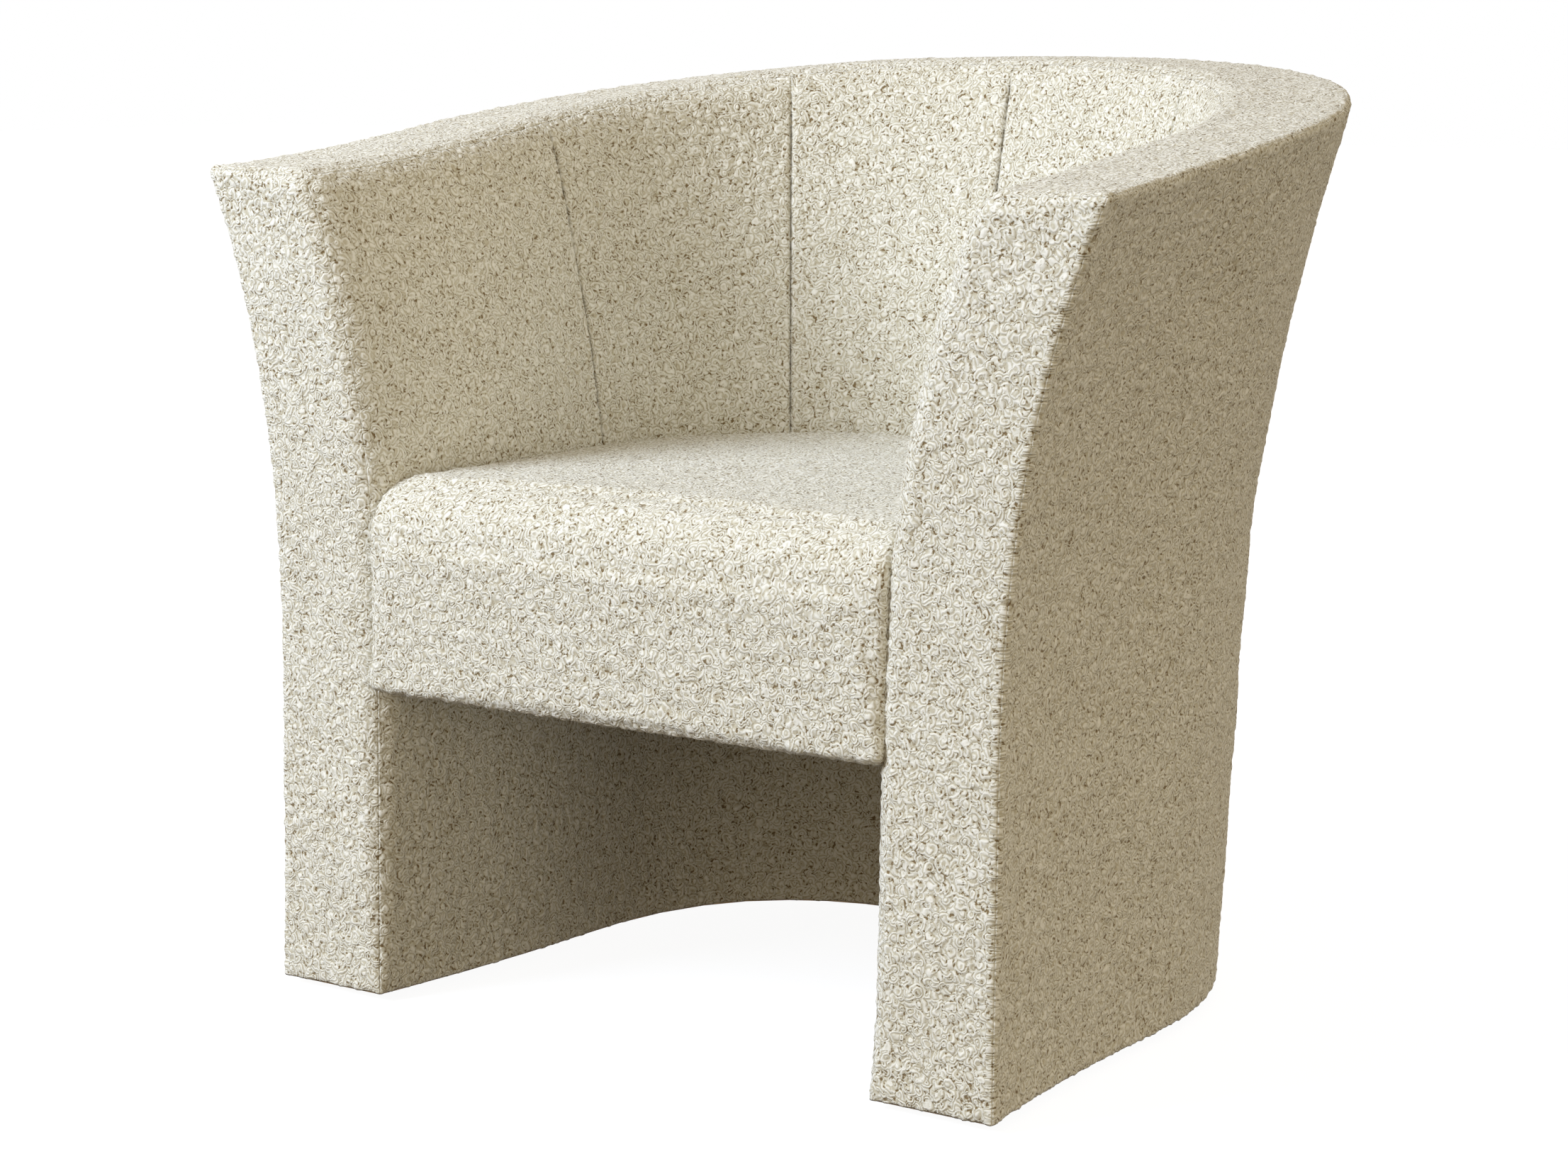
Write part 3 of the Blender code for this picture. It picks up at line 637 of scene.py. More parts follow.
    def material(self) -> bpy.types.Material:
        """Make the fabric's material."""
        made, bench, shader, place = self.start()
        band = bench.node("ShaderNodeAttribute", attribute_name="band").outputs["Fac"]
        lump, ring, tone = self.curls(bench, place, band)
        fuzz = bench.noise(place, self.fuzz_scale, 4.0).outputs["Fac"]
        tuck = bench.node("ShaderNodeAttribute", attribute_name="tuck").outputs["Fac"]
        # Holes in the pile lower its height for the bump, and they also take the colour down the ramp to
        # the painted pit shade.
        holes = bench.noise(place, self.hole_scale, 1.0).outputs["Fac"]
        hole = bench.eased(holes, *self.hole_band)
        height = bench.math("MULTIPLY", lump, self.lump_share)
        for layer, share in (
            (ring, self.ring_share), (fuzz, self.fuzz_share), (hole, self.hole_share),
        ):
            height = bench.math("MULTIPLY_ADD", layer, share, height)
        # Painted shade by height: the ramp darkens the low places of the pile through the crevice shade to
        # the warm brown pit shade. The curl tops are lightest.
        colour = bench.ramp(height, [
            (0.03, self.pit), (0.24, self.painted_crevice_shade), (0.52, self.body), (0.80, self.tip),
        ])
        cloud = bench.noise(place, self.cloud_scale, 3.0).outputs["Fac"]
        warm = bench.mix(bench.math("MULTIPLY", cloud, 0.25), colour, self.cloud_tint, "MULTIPLY")
        toned = bench.mix(bench.math("MULTIPLY", tone, 0.09), warm, self.curl_tint, "MULTIPLY")
        # Painted shade in the seams: the fabric darkens along each seam line, in patches where the pile
        # parts over it.
        gap = bench.eased(bench.noise(place, self.gap_scale, 2.0).outputs["Fac"], 0.40, 0.60)
        seam_shade_share = bench.math("MULTIPLY", tuck, bench.math("MULTIPLY_ADD", gap, 0.55, 0.15))
        seam_shaded = bench.mix(seam_shade_share, toned, self.painted_seam_shade, "MULTIPLY")
        bench.join(seam_shaded, shader.inputs["Base Color"])
        shader.inputs["Roughness"].default_value = 0.95
        shader.inputs["Sheen Weight"].default_value = 0.35
        shader.inputs["Sheen Roughness"].default_value = 0.6
        shader.inputs["Specular IOR Level"].default_value = 0.15
        self.raised(bench, shader, height, self.bump, 1.0)
        return made


# ---- Covers --------------------------------------------------------------------------------------


@dataclass
class Upholstery:
    """Common work of every cover: relief, material and what it stands for."""

    wall: WallShape
    cloth: bpy.types.Material
    relief: bpy.types.NodeTree
    step: float = 0.0024
    hem: float = 0.005

    def dress(self, piece: bpy.types.Object, *nodes: str) -> bpy.types.Object:
        """Raise the pile on a cover, give it its fabric and let it stand for its CAD nodes.

        Args:
            piece: The cover.
            nodes: Names of the CAD nodes that it replaces.

        Returns:
            The cover.
        """
        modifier = piece.modifiers.new("pile", "NODES")
        modifier.node_group = self.relief
        apply_all(piece)
        piece.data.attributes.remove(piece.data.attributes["way"])
        piece.data.materials.clear()
        piece.data.materials.append(self.cloth)
        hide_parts(*nodes)
        LOG.info("%s: %d faces", piece.name, len(piece.data.polygons))
        return piece

    def spaced(self, start: float, stop: float) -> np.ndarray:
        """Even steps between two numbers, about one mesh step apart."""
        return np.linspace(start, stop, max(2, round(abs(stop - start) / self.step) + 1))

    def wavy(self, run: np.ndarray, height: np.ndarray, amount: float) -> np.ndarray:
        """Slight unevenness of hand-stretched cloth."""
        wave = np.sin(run * 37 + 5 * np.sin(height * 11)) + np.sin(height * 53 + run * 17)
        return amount * wave / 2


@dataclass
class WallCovers(Upholstery):
    """Outer cover, rim, arm fronts, under-seat cover and the six inside-back panels."""

    seams: tuple[float, ...] = (0.193, 0.362, 0.5, 0.638, 0.807)
    seat_line: float = 0.3301
    rail_line: float = 0.2677
    groove: float = 0.0020
    groove_width: float = 0.0019
    tuck_width: float = 0.0016
    fullness: float = 0.0018
    full_width: float = 0.045
    panel_step: float = 0.0021
    panel_height: float = 0.43
    unevenness: float = 0.0008
    outer_unevenness: float = 0.0007
    edge_band: float = 0.0085
    edge_fade: float = 0.035
    outer_flat: tuple[float, float] = (1.66, 0.80)
    rim_flat: tuple[float, float] = (1.66, 0.125)
    front_flat: tuple[float, float] = (0.125, 0.70)
    under_flat: tuple[float, float] = (1.36, 0.27)

    def shown(self, name: str, run: np.ndarray, height: np.ndarray, depth: np.ndarray,
              shift: np.ndarray, tuck: np.ndarray, band: np.ndarray) -> bpy.types.Object:
        """Make one cover from places on the square-edged wall.

        Args:
            name: Name of the piece.
            run: Grid of runs.
            height: Grid of heights.
            depth: Grid of depths.
            shift: Grid of distances that the cover stands proud.
            tuck: Grid of how deep in a seam each point is, 0 to 1.
            band: Grid of how near an outer upright edge each point is, 0 to 1.

        Returns:
            The cover, not yet dressed.
        """
        spot = self.wall.rounded(run, height, depth)
        points, way = self.wall.skin(*spot[:3], spot[3])
        shift = shift * self.clear_of_edges(run, height, depth)
        marks = {"tuck": tuck, "band": band}
        return grid_piece(name, points + way * shift[..., None], way, marks, self.hem)

    def clear_of_edges(self, run: np.ndarray, height: np.ndarray, depth: np.ndarray) -> np.ndarray:
        """0 where two faces of the wall meet, 1 away from there, so that covers meet flush."""
        gaps = np.sort(np.stack([
            np.minimum(run, self.wall.length - run),
            np.minimum(height - self.wall.bottom, self.wall.rim(run) - height),
            np.minimum(depth, self.wall.thickness - depth),
        ]), axis=0)
        return eased(gaps[1] / self.edge_fade)

    def near_edge(self, distance: np.ndarray) -> np.ndarray:
        """1 at an outer upright edge, fading over the band where its yarn is pulled across."""
        return np.exp(-((distance / self.edge_band) ** 2))

    def outer(self) -> bpy.types.Object:
        """Make the outer cover."""
        runs = self.spaced(0.0, self.wall.length)[None, :]
        share = self.spaced(0.0, self.wall.back_height)[:, None] / self.wall.back_height
        height = self.wall.bottom + share * (self.wall.rim(runs) - self.wall.bottom)
        run = runs + 0.0 * height
        shift = self.wavy(run, height, self.outer_unevenness)
        edge = self.near_edge(np.minimum(run, self.wall.length - run))
        piece = self.shown("outer_cloth", run, height, 0.0 * run, shift, 0.0 * run, edge)
        return self.dress(piece, "outer_cover")

    def rim(self) -> bpy.types.Object:
        """Make the rim cover."""
        run = self.spaced(0.0, self.wall.length)[None, :]
        depth = self.spaced(0.0, self.wall.thickness)[:, None] + 0.0 * run
        run = run + 0.0 * depth
        shift = self.wavy(run, depth, self.unevenness)
        piece = self.shown("rim_cloth", run, self.wall.rim(run), depth, shift, 0.0 * run, 0.0 * run)
        return self.dress(piece, "rim_cover")

    def front(self, side: Side) -> bpy.types.Object:
        """Make the cover of one arm front.

        Args:
            side: Which arm.

        Returns:
            The cover.
        """
        title = side.name.lower()
        run = 0.0 if side is Side.RIGHT else self.wall.length
        depth = self.spaced(0.0, self.wall.thickness)[None, :]
        height = self.spaced(self.wall.bottom, self.wall.arm_height)[:, None] + 0.0 * depth
        depth = depth + 0.0 * height
        shift = self.wavy(depth, height, self.unevenness)
        piece = self.shown(
            f"arm_front_cloth_{title}", run + 0.0 * depth, height, depth, shift, 0.0 * depth,
            self.near_edge(depth),
        )
        return self.dress(piece, f"arm_front_cover_{title}")

    def under_seat(self) -> bpy.types.Object:
        """Make the inner cover of the legs, below the seat."""
        run = self.spaced(0.0, self.wall.length)[None, :]
        height = self.spaced(self.wall.bottom, self.rail_line)[:, None] + 0.0 * run
        run = run + 0.0 * height
        depth = np.full_like(run, self.wall.thickness)
        still = 0.0 * run
        piece = self.shown("under_seat_cloth", run, height, depth, still, still, still)
        return self.dress(piece, "under_seat_cover")

    def panel(self, number: int, start: float, stop: float) -> bpy.types.Object:
        """Make one padded panel of the inside back.

        Args:
            number: Its number, from the right arm round.
            start: Run at which it starts.
            stop: Run at which it stops.

        Returns:
            The panel.
        """
        near = 0.5 - 0.5 * np.cos(np.linspace(0.0, math.pi, round((stop - start) / self.panel_step)))
        run = start + (stop - start) * (0.75 * np.linspace(0, 1, len(near)) + 0.25 * near)[None, :]
        share = self.spaced(0.0, self.panel_height)[:, None] / self.panel_height
        height = self.seat_line + share * (self.wall.rim(run) - self.seat_line)
        run = run + 0.0 * height
        left = np.where(start > 0.0, run - start, 1.0)
        right = np.where(stop < self.wall.length, stop - run, 1.0)
        away = np.minimum(left, right)
        fade = eased((self.wall.rim(run) - height) / self.edge_fade)
        full = np.clip(away / self.full_width, 0.0, 1.0)
        shift = self.fullness * np.sqrt(1 - (1 - full) ** 2) * fade
        shift = shift - self.groove * np.exp(-((away / self.groove_width) ** 2)) * fade
        shift = shift + self.wavy(run, height, self.unevenness)
        tuck = np.exp(-((away / self.tuck_width) ** 2)) * (0.15 + 0.85 * fade)
        depth = np.full_like(run, self.wall.thickness)
        piece = self.shown(f"inside_back_pad_{number}", run, height, depth, shift, tuck, 0.0 * run)
        return self.dress(piece, f"inside_back_panel_{number}")

    def build(self) -> list[bpy.types.Object]:
        """Make every cover of the wall."""
        stops = [0.0, *(share * self.wall.length for share in self.seams), self.wall.length]
        panels = [
            self.panel(number, start, stop)
            for number, (start, stop) in enumerate(zip(stops, stops[1:]), 1)
        ]
        fronts = [self.front(side) for side in Side]
        return [self.outer(), self.rim(), self.under_seat(), *fronts, *panels]


@dataclass
class SeatCover(Upholstery):
    """The seat's cover: a crowned top that rolls over the front into a deep apron."""

    name: str = "seat_cloth"
    top: float = 0.437
    floor: float = 0.345
    apron_bottom: float = 0.262
    setback: float = 0.004
    front_radius: float = 0.046
    apron_thickness: float = 0.030
    clearance: float = 0.001
    crown: float = 0.007
    crown_length: float = 0.42
    crown_above: float = 0.03
    voxel: float = 0.005
    merge: float = 0.00005
    columns: int = 41
    apron_rows: int = 8
    roll_rows: int = 12
    roll_clear: float = 0.004
    proud: float = 0.003
    hang: float = 0.001
    stand_out: float = 0.004
    pressure: float = 6.0
    frames: int = 20
    outline_steps: int = 260

    def outline(self) -> tuple[np.ndarray, np.ndarray]:
        """Half widths of the seat and their distances behind the front, front to back."""
        runs = np.linspace(0.0, self.wall.length / 2, self.outline_steps)
        flat = np.full_like(runs, self.top)
        points = self.wall.place(runs, flat, np.full_like(runs, self.wall.thickness + self.clearance))
        keep = points[:, 1] + self.wall.middle > self.setback + self.front_radius + self.roll_clear
        return points[keep, 0], points[keep, 1] + self.wall.middle

    def block(self) -> bpy.types.Object:
        """Make the plain closed shape of the seat and its apron."""
        widths, places = self.outline()
        turn = np.linspace(0.0, math.pi / 2, self.roll_rows)
        curl_y = self.setback + self.front_radius * (1 - np.cos(turn))
        curl_z = self.top - self.front_radius * (1 - np.sin(turn))
        line_y = np.concatenate([[self.setback] * self.apron_rows, curl_y, places])
        face_z = np.linspace(self.apron_bottom, curl_z[0], self.apron_rows + 1)[:-1]
        line_z = np.concatenate([face_z, curl_z, np.full_like(places, self.top)])
        depth = self.wall.thickness + self.clearance
        ahead = self.wall.inner_half_width(line_y[: -len(places)], self.top, depth)
        half = np.concatenate([ahead, widths])
        across = np.linspace(-1.0, 1.0, self.columns)
        upper = np.stack([
            half[:, None] * across,
            np.repeat(line_y[:, None], self.columns, 1),
            np.repeat(line_z[:, None], self.columns, 1),
        ], -1)
        lower = upper.copy()
        lower[..., 1] = np.maximum(line_y, self.setback + self.apron_thickness)[:, None]
        lower[..., 2] = np.minimum(line_z, self.floor)[:, None]
        points = np.concatenate([upper.reshape(-1, 3), lower.reshape(-1, 3)])
        points[:, 1] -= self.wall.middle
        return body_mesh(self.name, points, shell_faces(len(line_y), self.columns), {})

    def remeshed(self, piece: bpy.types.Object) -> None:
        """Give the block an even mesh."""
        close_up(piece, self.merge)
        modifier = piece.modifiers.new("even", "REMESH")
        modifier.mode = "VOXEL"
        modifier.voxel_size = self.voxel
        apply_all(piece)
        modifier = piece.modifiers.new("soften", "SMOOTH")
        modifier.iterations = 4
        apply_all(piece)

    def points_of(self, piece: bpy.types.Object) -> np.ndarray:
        """The points of a piece's mesh, one a row."""
        points = np.empty(len(piece.data.vertices) * 3)
        piece.data.vertices.foreach_get("co", points)
        return points.reshape(-1, 3)

    def stuffed(self, piece: bpy.types.Object) -> None:
        """Swell the cover with a short cloth simulation; its foam keeps it from sinking."""
        rest = self.points_of(piece)
        ways = np.empty(rest.size)
        piece.data.vertex_normals.foreach_get("vector", ways)
        ways = ways.reshape(-1, 3)
        cloth = piece.modifiers.new("cloth", "CLOTH")
        cloth.settings.use_pressure = True
        cloth.settings.uniform_pressure_force = self.pressure
        cloth.settings.effector_weights.gravity = 0.0
        cloth.settings.quality = 4
        scene = bpy.context.scene
        for number in range(1, self.frames + 1):
            scene.frame_set(number)
        apply_all(piece)
        scene.frame_set(1)
        out = np.einsum("ij,ij->i", self.points_of(piece) - rest, ways)
        self.settle(piece, rest + ways * np.clip(out, 0.0, self.stand_out)[:, None])

    def settle(self, piece: bpy.types.Object, points: np.ndarray) -> None:
        """Keep the swollen cover between the arms and above its apron line.

        Args:
            piece: The cover.
            points: Where the simulation left its points.
        """
        limit = self.wall.inner_half_width(
            points[:, 1] + self.wall.middle, self.top, self.wall.thickness + self.clearance
        )
        points[:, 0] = np.clip(points[:, 0], -limit, limit)
        points[:, 1] = np.maximum(points[:, 1], self.setback - self.proud - self.wall.middle)
        points[:, 2] = np.maximum(points[:, 2], self.apron_bottom - self.hang)
        piece.data.vertices.foreach_set("co", points.ravel())
        piece.data.update()

    def build(self) -> bpy.types.Object:
        """Make the seat's cover."""
        piece = self.block()
        self.remeshed(piece)
        self.stuffed(piece)
        points = self.points_of(piece)
        limit = self.wall.inner_half_width(
            points[:, 1] + self.wall.middle, self.top, self.wall.thickness + self.clearance
        )
        aside = np.clip(1 - (points[:, 0] / np.maximum(limit, 0.01)) ** 2, 0.0, 1.0)
        along = np.clip((points[:, 1] + self.wall.middle) / self.crown_length, 0.0, 1.0)
        lift = self.crown * aside * np.sin(math.pi * along) ** 0.7
        points[:, 2] += lift * (points[:, 2] > self.top - self.crown_above)
        self.settle(piece, points)
        finer = piece.modifiers.new("finer", "SUBSURF")
        finer.levels = finer.render_levels = 1
        apply_all(piece)
        normals = np.empty(len(piece.data.vertices) * 3)
        piece.data.vertex_normals.foreach_get("vector", normals)
        for title, kind in (("way", "FLOAT_VECTOR"), ("tuck", "FLOAT"), ("band", "FLOAT")):
            piece.data.attributes.new(title, kind, "POINT")
        piece.data.attributes["way"].data.foreach_set("vector", normals)
        piece.data.polygons.foreach_set("use_smooth", np.ones(len(piece.data.polygons), bool))
        return self.dress(piece, "seat_cover")


# ---- Foam ----------------------------------------------------------------------------------------


@dataclass(frozen=True)
class OpenCellFoam(Finish):
    """Cream polyurethane foam with fine open cells."""

    name: str = "cream_foam"
    cell_scale: float = 700.0
    age_scale: float = 14.0

    def material(self) -> bpy.types.Material:
        """Make the foam's material."""
        made, bench, shader, place = self.start()
        cells = bench.node("ShaderNodeTexVoronoi", {"Vector": place, "Scale": self.cell_scale})
        age = bench.noise(place, self.age_scale, 4.0).outputs["Fac"]
        colour = bench.ramp(cells.outputs["Distance"], [
            (0.0, (0.55, 0.46, 0.26)), (0.35, (0.82, 0.76, 0.56)), (0.8, (0.90, 0.86, 0.70)),
        ])
        bench.join(
            bench.mix(bench.math("MULTIPLY", age, 0.4), colour, (0.86, 0.74, 0.48, 1.0), "MULTIPLY"),
            shader.inputs["Base Color"],
        )
        shader.inputs["Roughness"].default_value = 0.95
        self.raised(bench, shader, cells.outputs["Distance"], 0.0006, 0.8)
        return made


@dataclass
class WallFoam:
    """The foam slabs of the wall, mitred where they meet."""

    wall: WallShape
    foam: bpy.types.Material
    inset: float = 0.0045
    step: float = 0.008
    seat_line: float = 0.3301
    rail_line: float = 0.2674
    outer_depth: float = 0.0112
    inner_depth: float = 0.0252
    rim_depth: float = 0.0221
    rows: int = 40
    rim_rows: int = 15
    front_rows: int = 80

    def slab(self, name: str, run: np.ndarray, height: np.ndarray, depth: np.ndarray,
             thick: float) -> bpy.types.Object:
        """Make one slab under a face of the wall.

        Args:
            name: CAD node that it stands for.
            run: Grid of runs on the square-edged wall.
            height: Grid of heights.
            depth: Grid of depths.
            thick: How far its inner side lies below the wall's face.

        Returns:
            The slab.
        """
        run, height, depth = np.broadcast_arrays(run, height, depth)
        spot = self.wall.rounded(run, height, depth)
        points, way = self.wall.skin(*spot[:3], spot[3])
        outer = points - way * self.inset
        core_run = np.clip(run, thick, self.wall.length - thick)
        inner = self.wall.place(
            core_run,
            np.clip(height, self.wall.bottom + thick, self.wall.rim(core_run) - thick),
            np.clip(depth, thick, self.wall.thickness - thick),
        )
        both = np.concatenate([outer.reshape(-1, 3), inner.reshape(-1, 3)])
        piece = body_mesh(f"{name}_slab", both, shell_faces(*run.shape), {})
        close_up(piece)
        piece.data.materials.append(self.foam)
        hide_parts(name)
        LOG.info("%s: %d faces", piece.name, len(piece.data.polygons))
        return piece

    def build(self) -> list[bpy.types.Object]:
        """Make every slab."""
        wall = self.wall
        run = np.arange(0.0, wall.length + self.step, self.step).clip(max=wall.length)[None, :]
        share = np.linspace(0.0, 1.0, self.rows)[:, None]
        full = wall.bottom + share * (wall.rim(run) - wall.bottom)
        back = self.seat_line + share * (wall.rim(run) - self.seat_line)
        low = wall.bottom + share * (self.rail_line - wall.bottom) + 0.0 * run
        across = np.linspace(0.0, wall.thickness, self.rim_rows)
        top = wall.rim(run) + 0.0 * across[:, None]
        deep = wall.thickness + 0.0 * full
        slabs = [
            self.slab("outer_foam", run, full, 0.0 * full, self.outer_depth),
            self.slab("back_foam", run, back, deep, self.inner_depth),
            self.slab("under_seat_foam", run, low, deep, self.inner_depth),
            self.slab("rim_foam", run, top, across[:, None], self.rim_depth),
        ]
        tall = np.linspace(wall.bottom, wall.arm_height, self.front_rows)[:, None]
        for side in Side:
            end = 0.0 if side is Side.RIGHT else wall.length
            name = f"arm_front_foam_{side.name.lower()}"
            slabs.append(self.slab(name, end, tall, across[None, :], self.inner_depth))
        return slabs


@dataclass
class SeatFoam(SeatCover):
    """The seat's foam block with the apron's strip in front of it."""

    name: str = "seat_foam_block"
    top: float = 0.4325
    floor: float = 0.3535
    apron_bottom: float = 0.2685
    setback: float = 0.0085
    front_radius: float = 0.042
    apron_thickness: float = 0.026
    clearance: float = 0.0055

    def build(self) -> bpy.types.Object:
        """Make the foam."""
        piece = self.block()
        close_up(piece, self.merge)
        piece.data.materials.append(self.cloth)
        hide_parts("seat_foam", "apron_foam")
        LOG.info("%s: %d faces", piece.name, len(piece.data.polygons))
        return piece


# ---- Frame finishes and linings ------------------------------------------------------------------


@dataclass(frozen=True)
class BirchPly(Finish):
    """Bare birch plywood: pale faces, with darker and lighter plies at the edges."""

    name: str = "birch_plywood"
    grained: bool = True
    ply: float = 0.0015

    def material(self, thin: int, long: int) -> bpy.types.Material:
        """Make the material.

        Args:
            thin: Axis through the sheet, 0 to 2.
            long: Axis of its face grain.

        Returns:
            The material.
        """
        made, bench, shader, place = self.start(f"_{thin}{long}")
        grain = self.grain(bench, place, long, 60.0, 5.0, 6.0)
        face = bench.ramp(grain, [
            (0.30, (0.50, 0.34, 0.18)), (0.50, (0.70, 0.54, 0.34)), (0.72, (0.78, 0.64, 0.44)),
        ])
        axes = bench.node("ShaderNodeSeparateXYZ", {"Vector": place}).outputs
        layer = bench.math("PINGPONG", axes[thin], self.ply)
        layer = bench.eased(layer, self.ply * 0.40, self.ply * 0.60)
        plies = bench.mix(layer, (0.34, 0.21, 0.11, 1.0), (0.72, 0.57, 0.37, 1.0))
        normal = bench.node("ShaderNodeNewGeometry").outputs["Normal"]
        facing = bench.node("ShaderNodeSeparateXYZ", {"Vector": normal}).outputs[thin]
        edge = bench.eased(bench.math("ABSOLUTE", facing), 0.75, 0.45)
        stain = bench.eased(bench.noise(place, 16.0, 3.0).outputs["Fac"], 0.55, 0.75)
        worn = bench.mix(bench.math("MULTIPLY", stain, 0.35), bench.mix(edge, face, plies),
                         (0.60, 0.46, 0.30, 1.0), "MULTIPLY")
        bench.join(worn, shader.inputs["Base Color"])
        shader.inputs["Roughness"].default_value = 0.62
        self.raised(bench, shader, grain, 0.0002)
        return made


@dataclass(frozen=True)
class Beech(Finish):
    """Planed bare beech, with straight grain and short dark rays."""

    name: str = "planed_beech"
    grained: bool = True

    def material(self, thin: int, long: int) -> bpy.types.Material:
        """Make the material.

        Args:
            thin: Axis of the timber's least side, 0 to 2.
            long: Axis of its grain.

        Returns:
            The material.
        """
        made, bench, shader, place = self.start(f"_{thin}{long}")
        grain = self.grain(bench, place, long, 130.0, 4.0, 5.0)
        rays = self.grain(bench, place, long, 900.0, 140.0, 1.0)
        wood = bench.ramp(grain, [
            (0.28, (0.42, 0.25, 0.13)), (0.50, (0.60, 0.40, 0.24)), (0.74, (0.70, 0.50, 0.32)),
        ])
        flecked = bench.mix(bench.math("MULTIPLY", bench.eased(rays, 0.62, 0.72), 0.5), wood,
                            (0.50, 0.32, 0.20, 1.0), "MULTIPLY")
        bench.join(flecked, shader.inputs["Base Color"])
        shader.inputs["Roughness"].default_value = 0.55
        self.raised(bench, shader, grain, 0.00015)
        return made


@dataclass(frozen=True)
class Hardboard(Finish):
    """Smooth bare hardboard with pressed fibres."""

    name: str = "bare_hardboard"
    fibre_way: tuple = (1.0, 0.3, 1.0)
    fibre_scale: float = 900.0

    def material(self) -> bpy.types.Material:
        """Make the material."""
        made, bench, shader, place = self.start()
        fibre = bench.noise(bench.vector("MULTIPLY", place, self.fibre_way), self.fibre_scale, 3.0)
        patch = bench.noise(place, 25.0, 3.0).outputs["Fac"]
        board = bench.ramp(fibre.outputs["Fac"], [
            (0.32, (0.17, 0.095, 0.045)), (0.52, (0.30, 0.185, 0.10)), (0.70, (0.42, 0.28, 0.16)),
        ])
        bench.join(bench.mix(bench.math("MULTIPLY", patch, 0.5), board, (0.72, 0.64, 0.55, 1.0),
                             "MULTIPLY"), shader.inputs["Base Color"])
        shader.inputs["Roughness"].default_value = 0.68
        self.raised(bench, shader, fibre.outputs["Fac"], 0.0001)
        return made


@dataclass(frozen=True)
class SpringSteel(Finish):
    """Oiled drawn steel with a faint blue-brown bloom."""

    name: str = "oiled_spring_steel"

    def material(self) -> bpy.types.Material:
        """Make the material."""
        made, bench, shader, place = self.start()
        bloom = bench.noise(place, 90.0, 4.0).outputs["Fac"]
        fine = bench.noise(place, 1600.0, 2.0).outputs["Fac"]
        metal = bench.ramp(bloom, [
            (0.32, (0.24, 0.19, 0.15)), (0.50, (0.40, 0.41, 0.43)), (0.70, (0.30, 0.34, 0.42)),
        ])
        bench.join(metal, shader.inputs["Base Color"])
        bench.join(bench.math("MULTIPLY_ADD", bloom, 0.35, 0.18), shader.inputs["Roughness"])
        shader.inputs["Metallic"].default_value = 1.0
        self.raised(bench, shader, fine, 0.00005)
        return made


@dataclass(frozen=True)
class MouldedNylon(Finish):
    """Black moulded nylon with a fine grain and scuffs."""

    name: str = "black_moulded_nylon"

    def material(self) -> bpy.types.Material:
        """Make the material."""
        made, bench, shader, place = self.start()
        grain = bench.node("ShaderNodeTexVoronoi", {"Vector": place, "Scale": 1500.0})
        scuff = bench.eased(bench.noise(place, 260.0, 4.0).outputs["Fac"], 0.56, 0.72)
        bench.join(bench.mix(bench.math("MULTIPLY", scuff, 0.6), (0.022, 0.022, 0.024, 1.0),
                             (0.11, 0.11, 0.11, 1.0)), shader.inputs["Base Color"])
        bench.join(bench.math("MULTIPLY_ADD", scuff, 0.30, 0.42), shader.inputs["Roughness"])
        self.raised(bench, shader, grain.outputs["Distance"], 0.00008)
        return made


@dataclass(frozen=True)
class SpunDustCloth(Finish):
    """Black non-woven cloth with small pressed dimples."""

    name: str = "spun_black_dust_cloth"

    def material(self) -> bpy.types.Material:
        """Make the material; its dimples run straight through the level cloth."""
        made, bench, shader, place = self.start()
        dimples = bench.node("ShaderNodeTexVoronoi", {
            "Vector": bench.vector("MULTIPLY", place, (1.0, 1.0, 0.0)), "Scale": 420.0,
            "Randomness": 0.0,
        })
        fibre = bench.noise(place, 1300.0, 3.0).outputs["Fac"]
        dip = bench.eased(dimples.outputs["Distance"], 0.45, 0.20)
        tone = bench.math("MULTIPLY_ADD", dip, -0.5, fibre)
        bench.join(bench.ramp(tone, [
            (0.10, (0.008, 0.008, 0.009)), (0.50, (0.024, 0.024, 0.026)), (0.75, (0.06, 0.06, 0.065)),
        ]), shader.inputs["Base Color"])
        shader.inputs["Roughness"].default_value = 0.85
        self.raised(bench, shader, tone, 0.0002)
        return made


@dataclass(frozen=True)
class NeedledFelt(Finish):
    """Grey felt needled from fibres of many colours."""

    name: str = "grey_needled_felt"
    fibre_way: tuple = (1.0, 0.35, 1.0)
    fibre_scale: float = 700.0

    def material(self) -> bpy.types.Material:
        """Make the material."""
        made, bench, shader, place = self.start()
        fibre = bench.noise(bench.vector("MULTIPLY", place, self.fibre_way), self.fibre_scale, 4.0)
        hue = bench.noise(place, 330.0, 2.0).outputs["Fac"]
        felt = bench.ramp(fibre.outputs["Fac"], [
            (0.30, (0.10, 0.10, 0.105)), (0.50, (0.30, 0.295, 0.285)), (0.72, (0.52, 0.50, 0.47)),
        ])
        tint = bench.ramp(hue, [
            (0.40, (0.62, 0.70, 0.86)), (0.52, (1.0, 1.0, 1.0)), (0.64, (0.92, 0.70, 0.56)),
        ])
        bench.join(bench.mix(0.6, felt, tint, "MULTIPLY"), shader.inputs["Base Color"])
        shader.inputs["Roughness"].default_value = 0.97
        self.raised(bench, shader, fibre.outputs["Fac"], 0.0005)
        return made


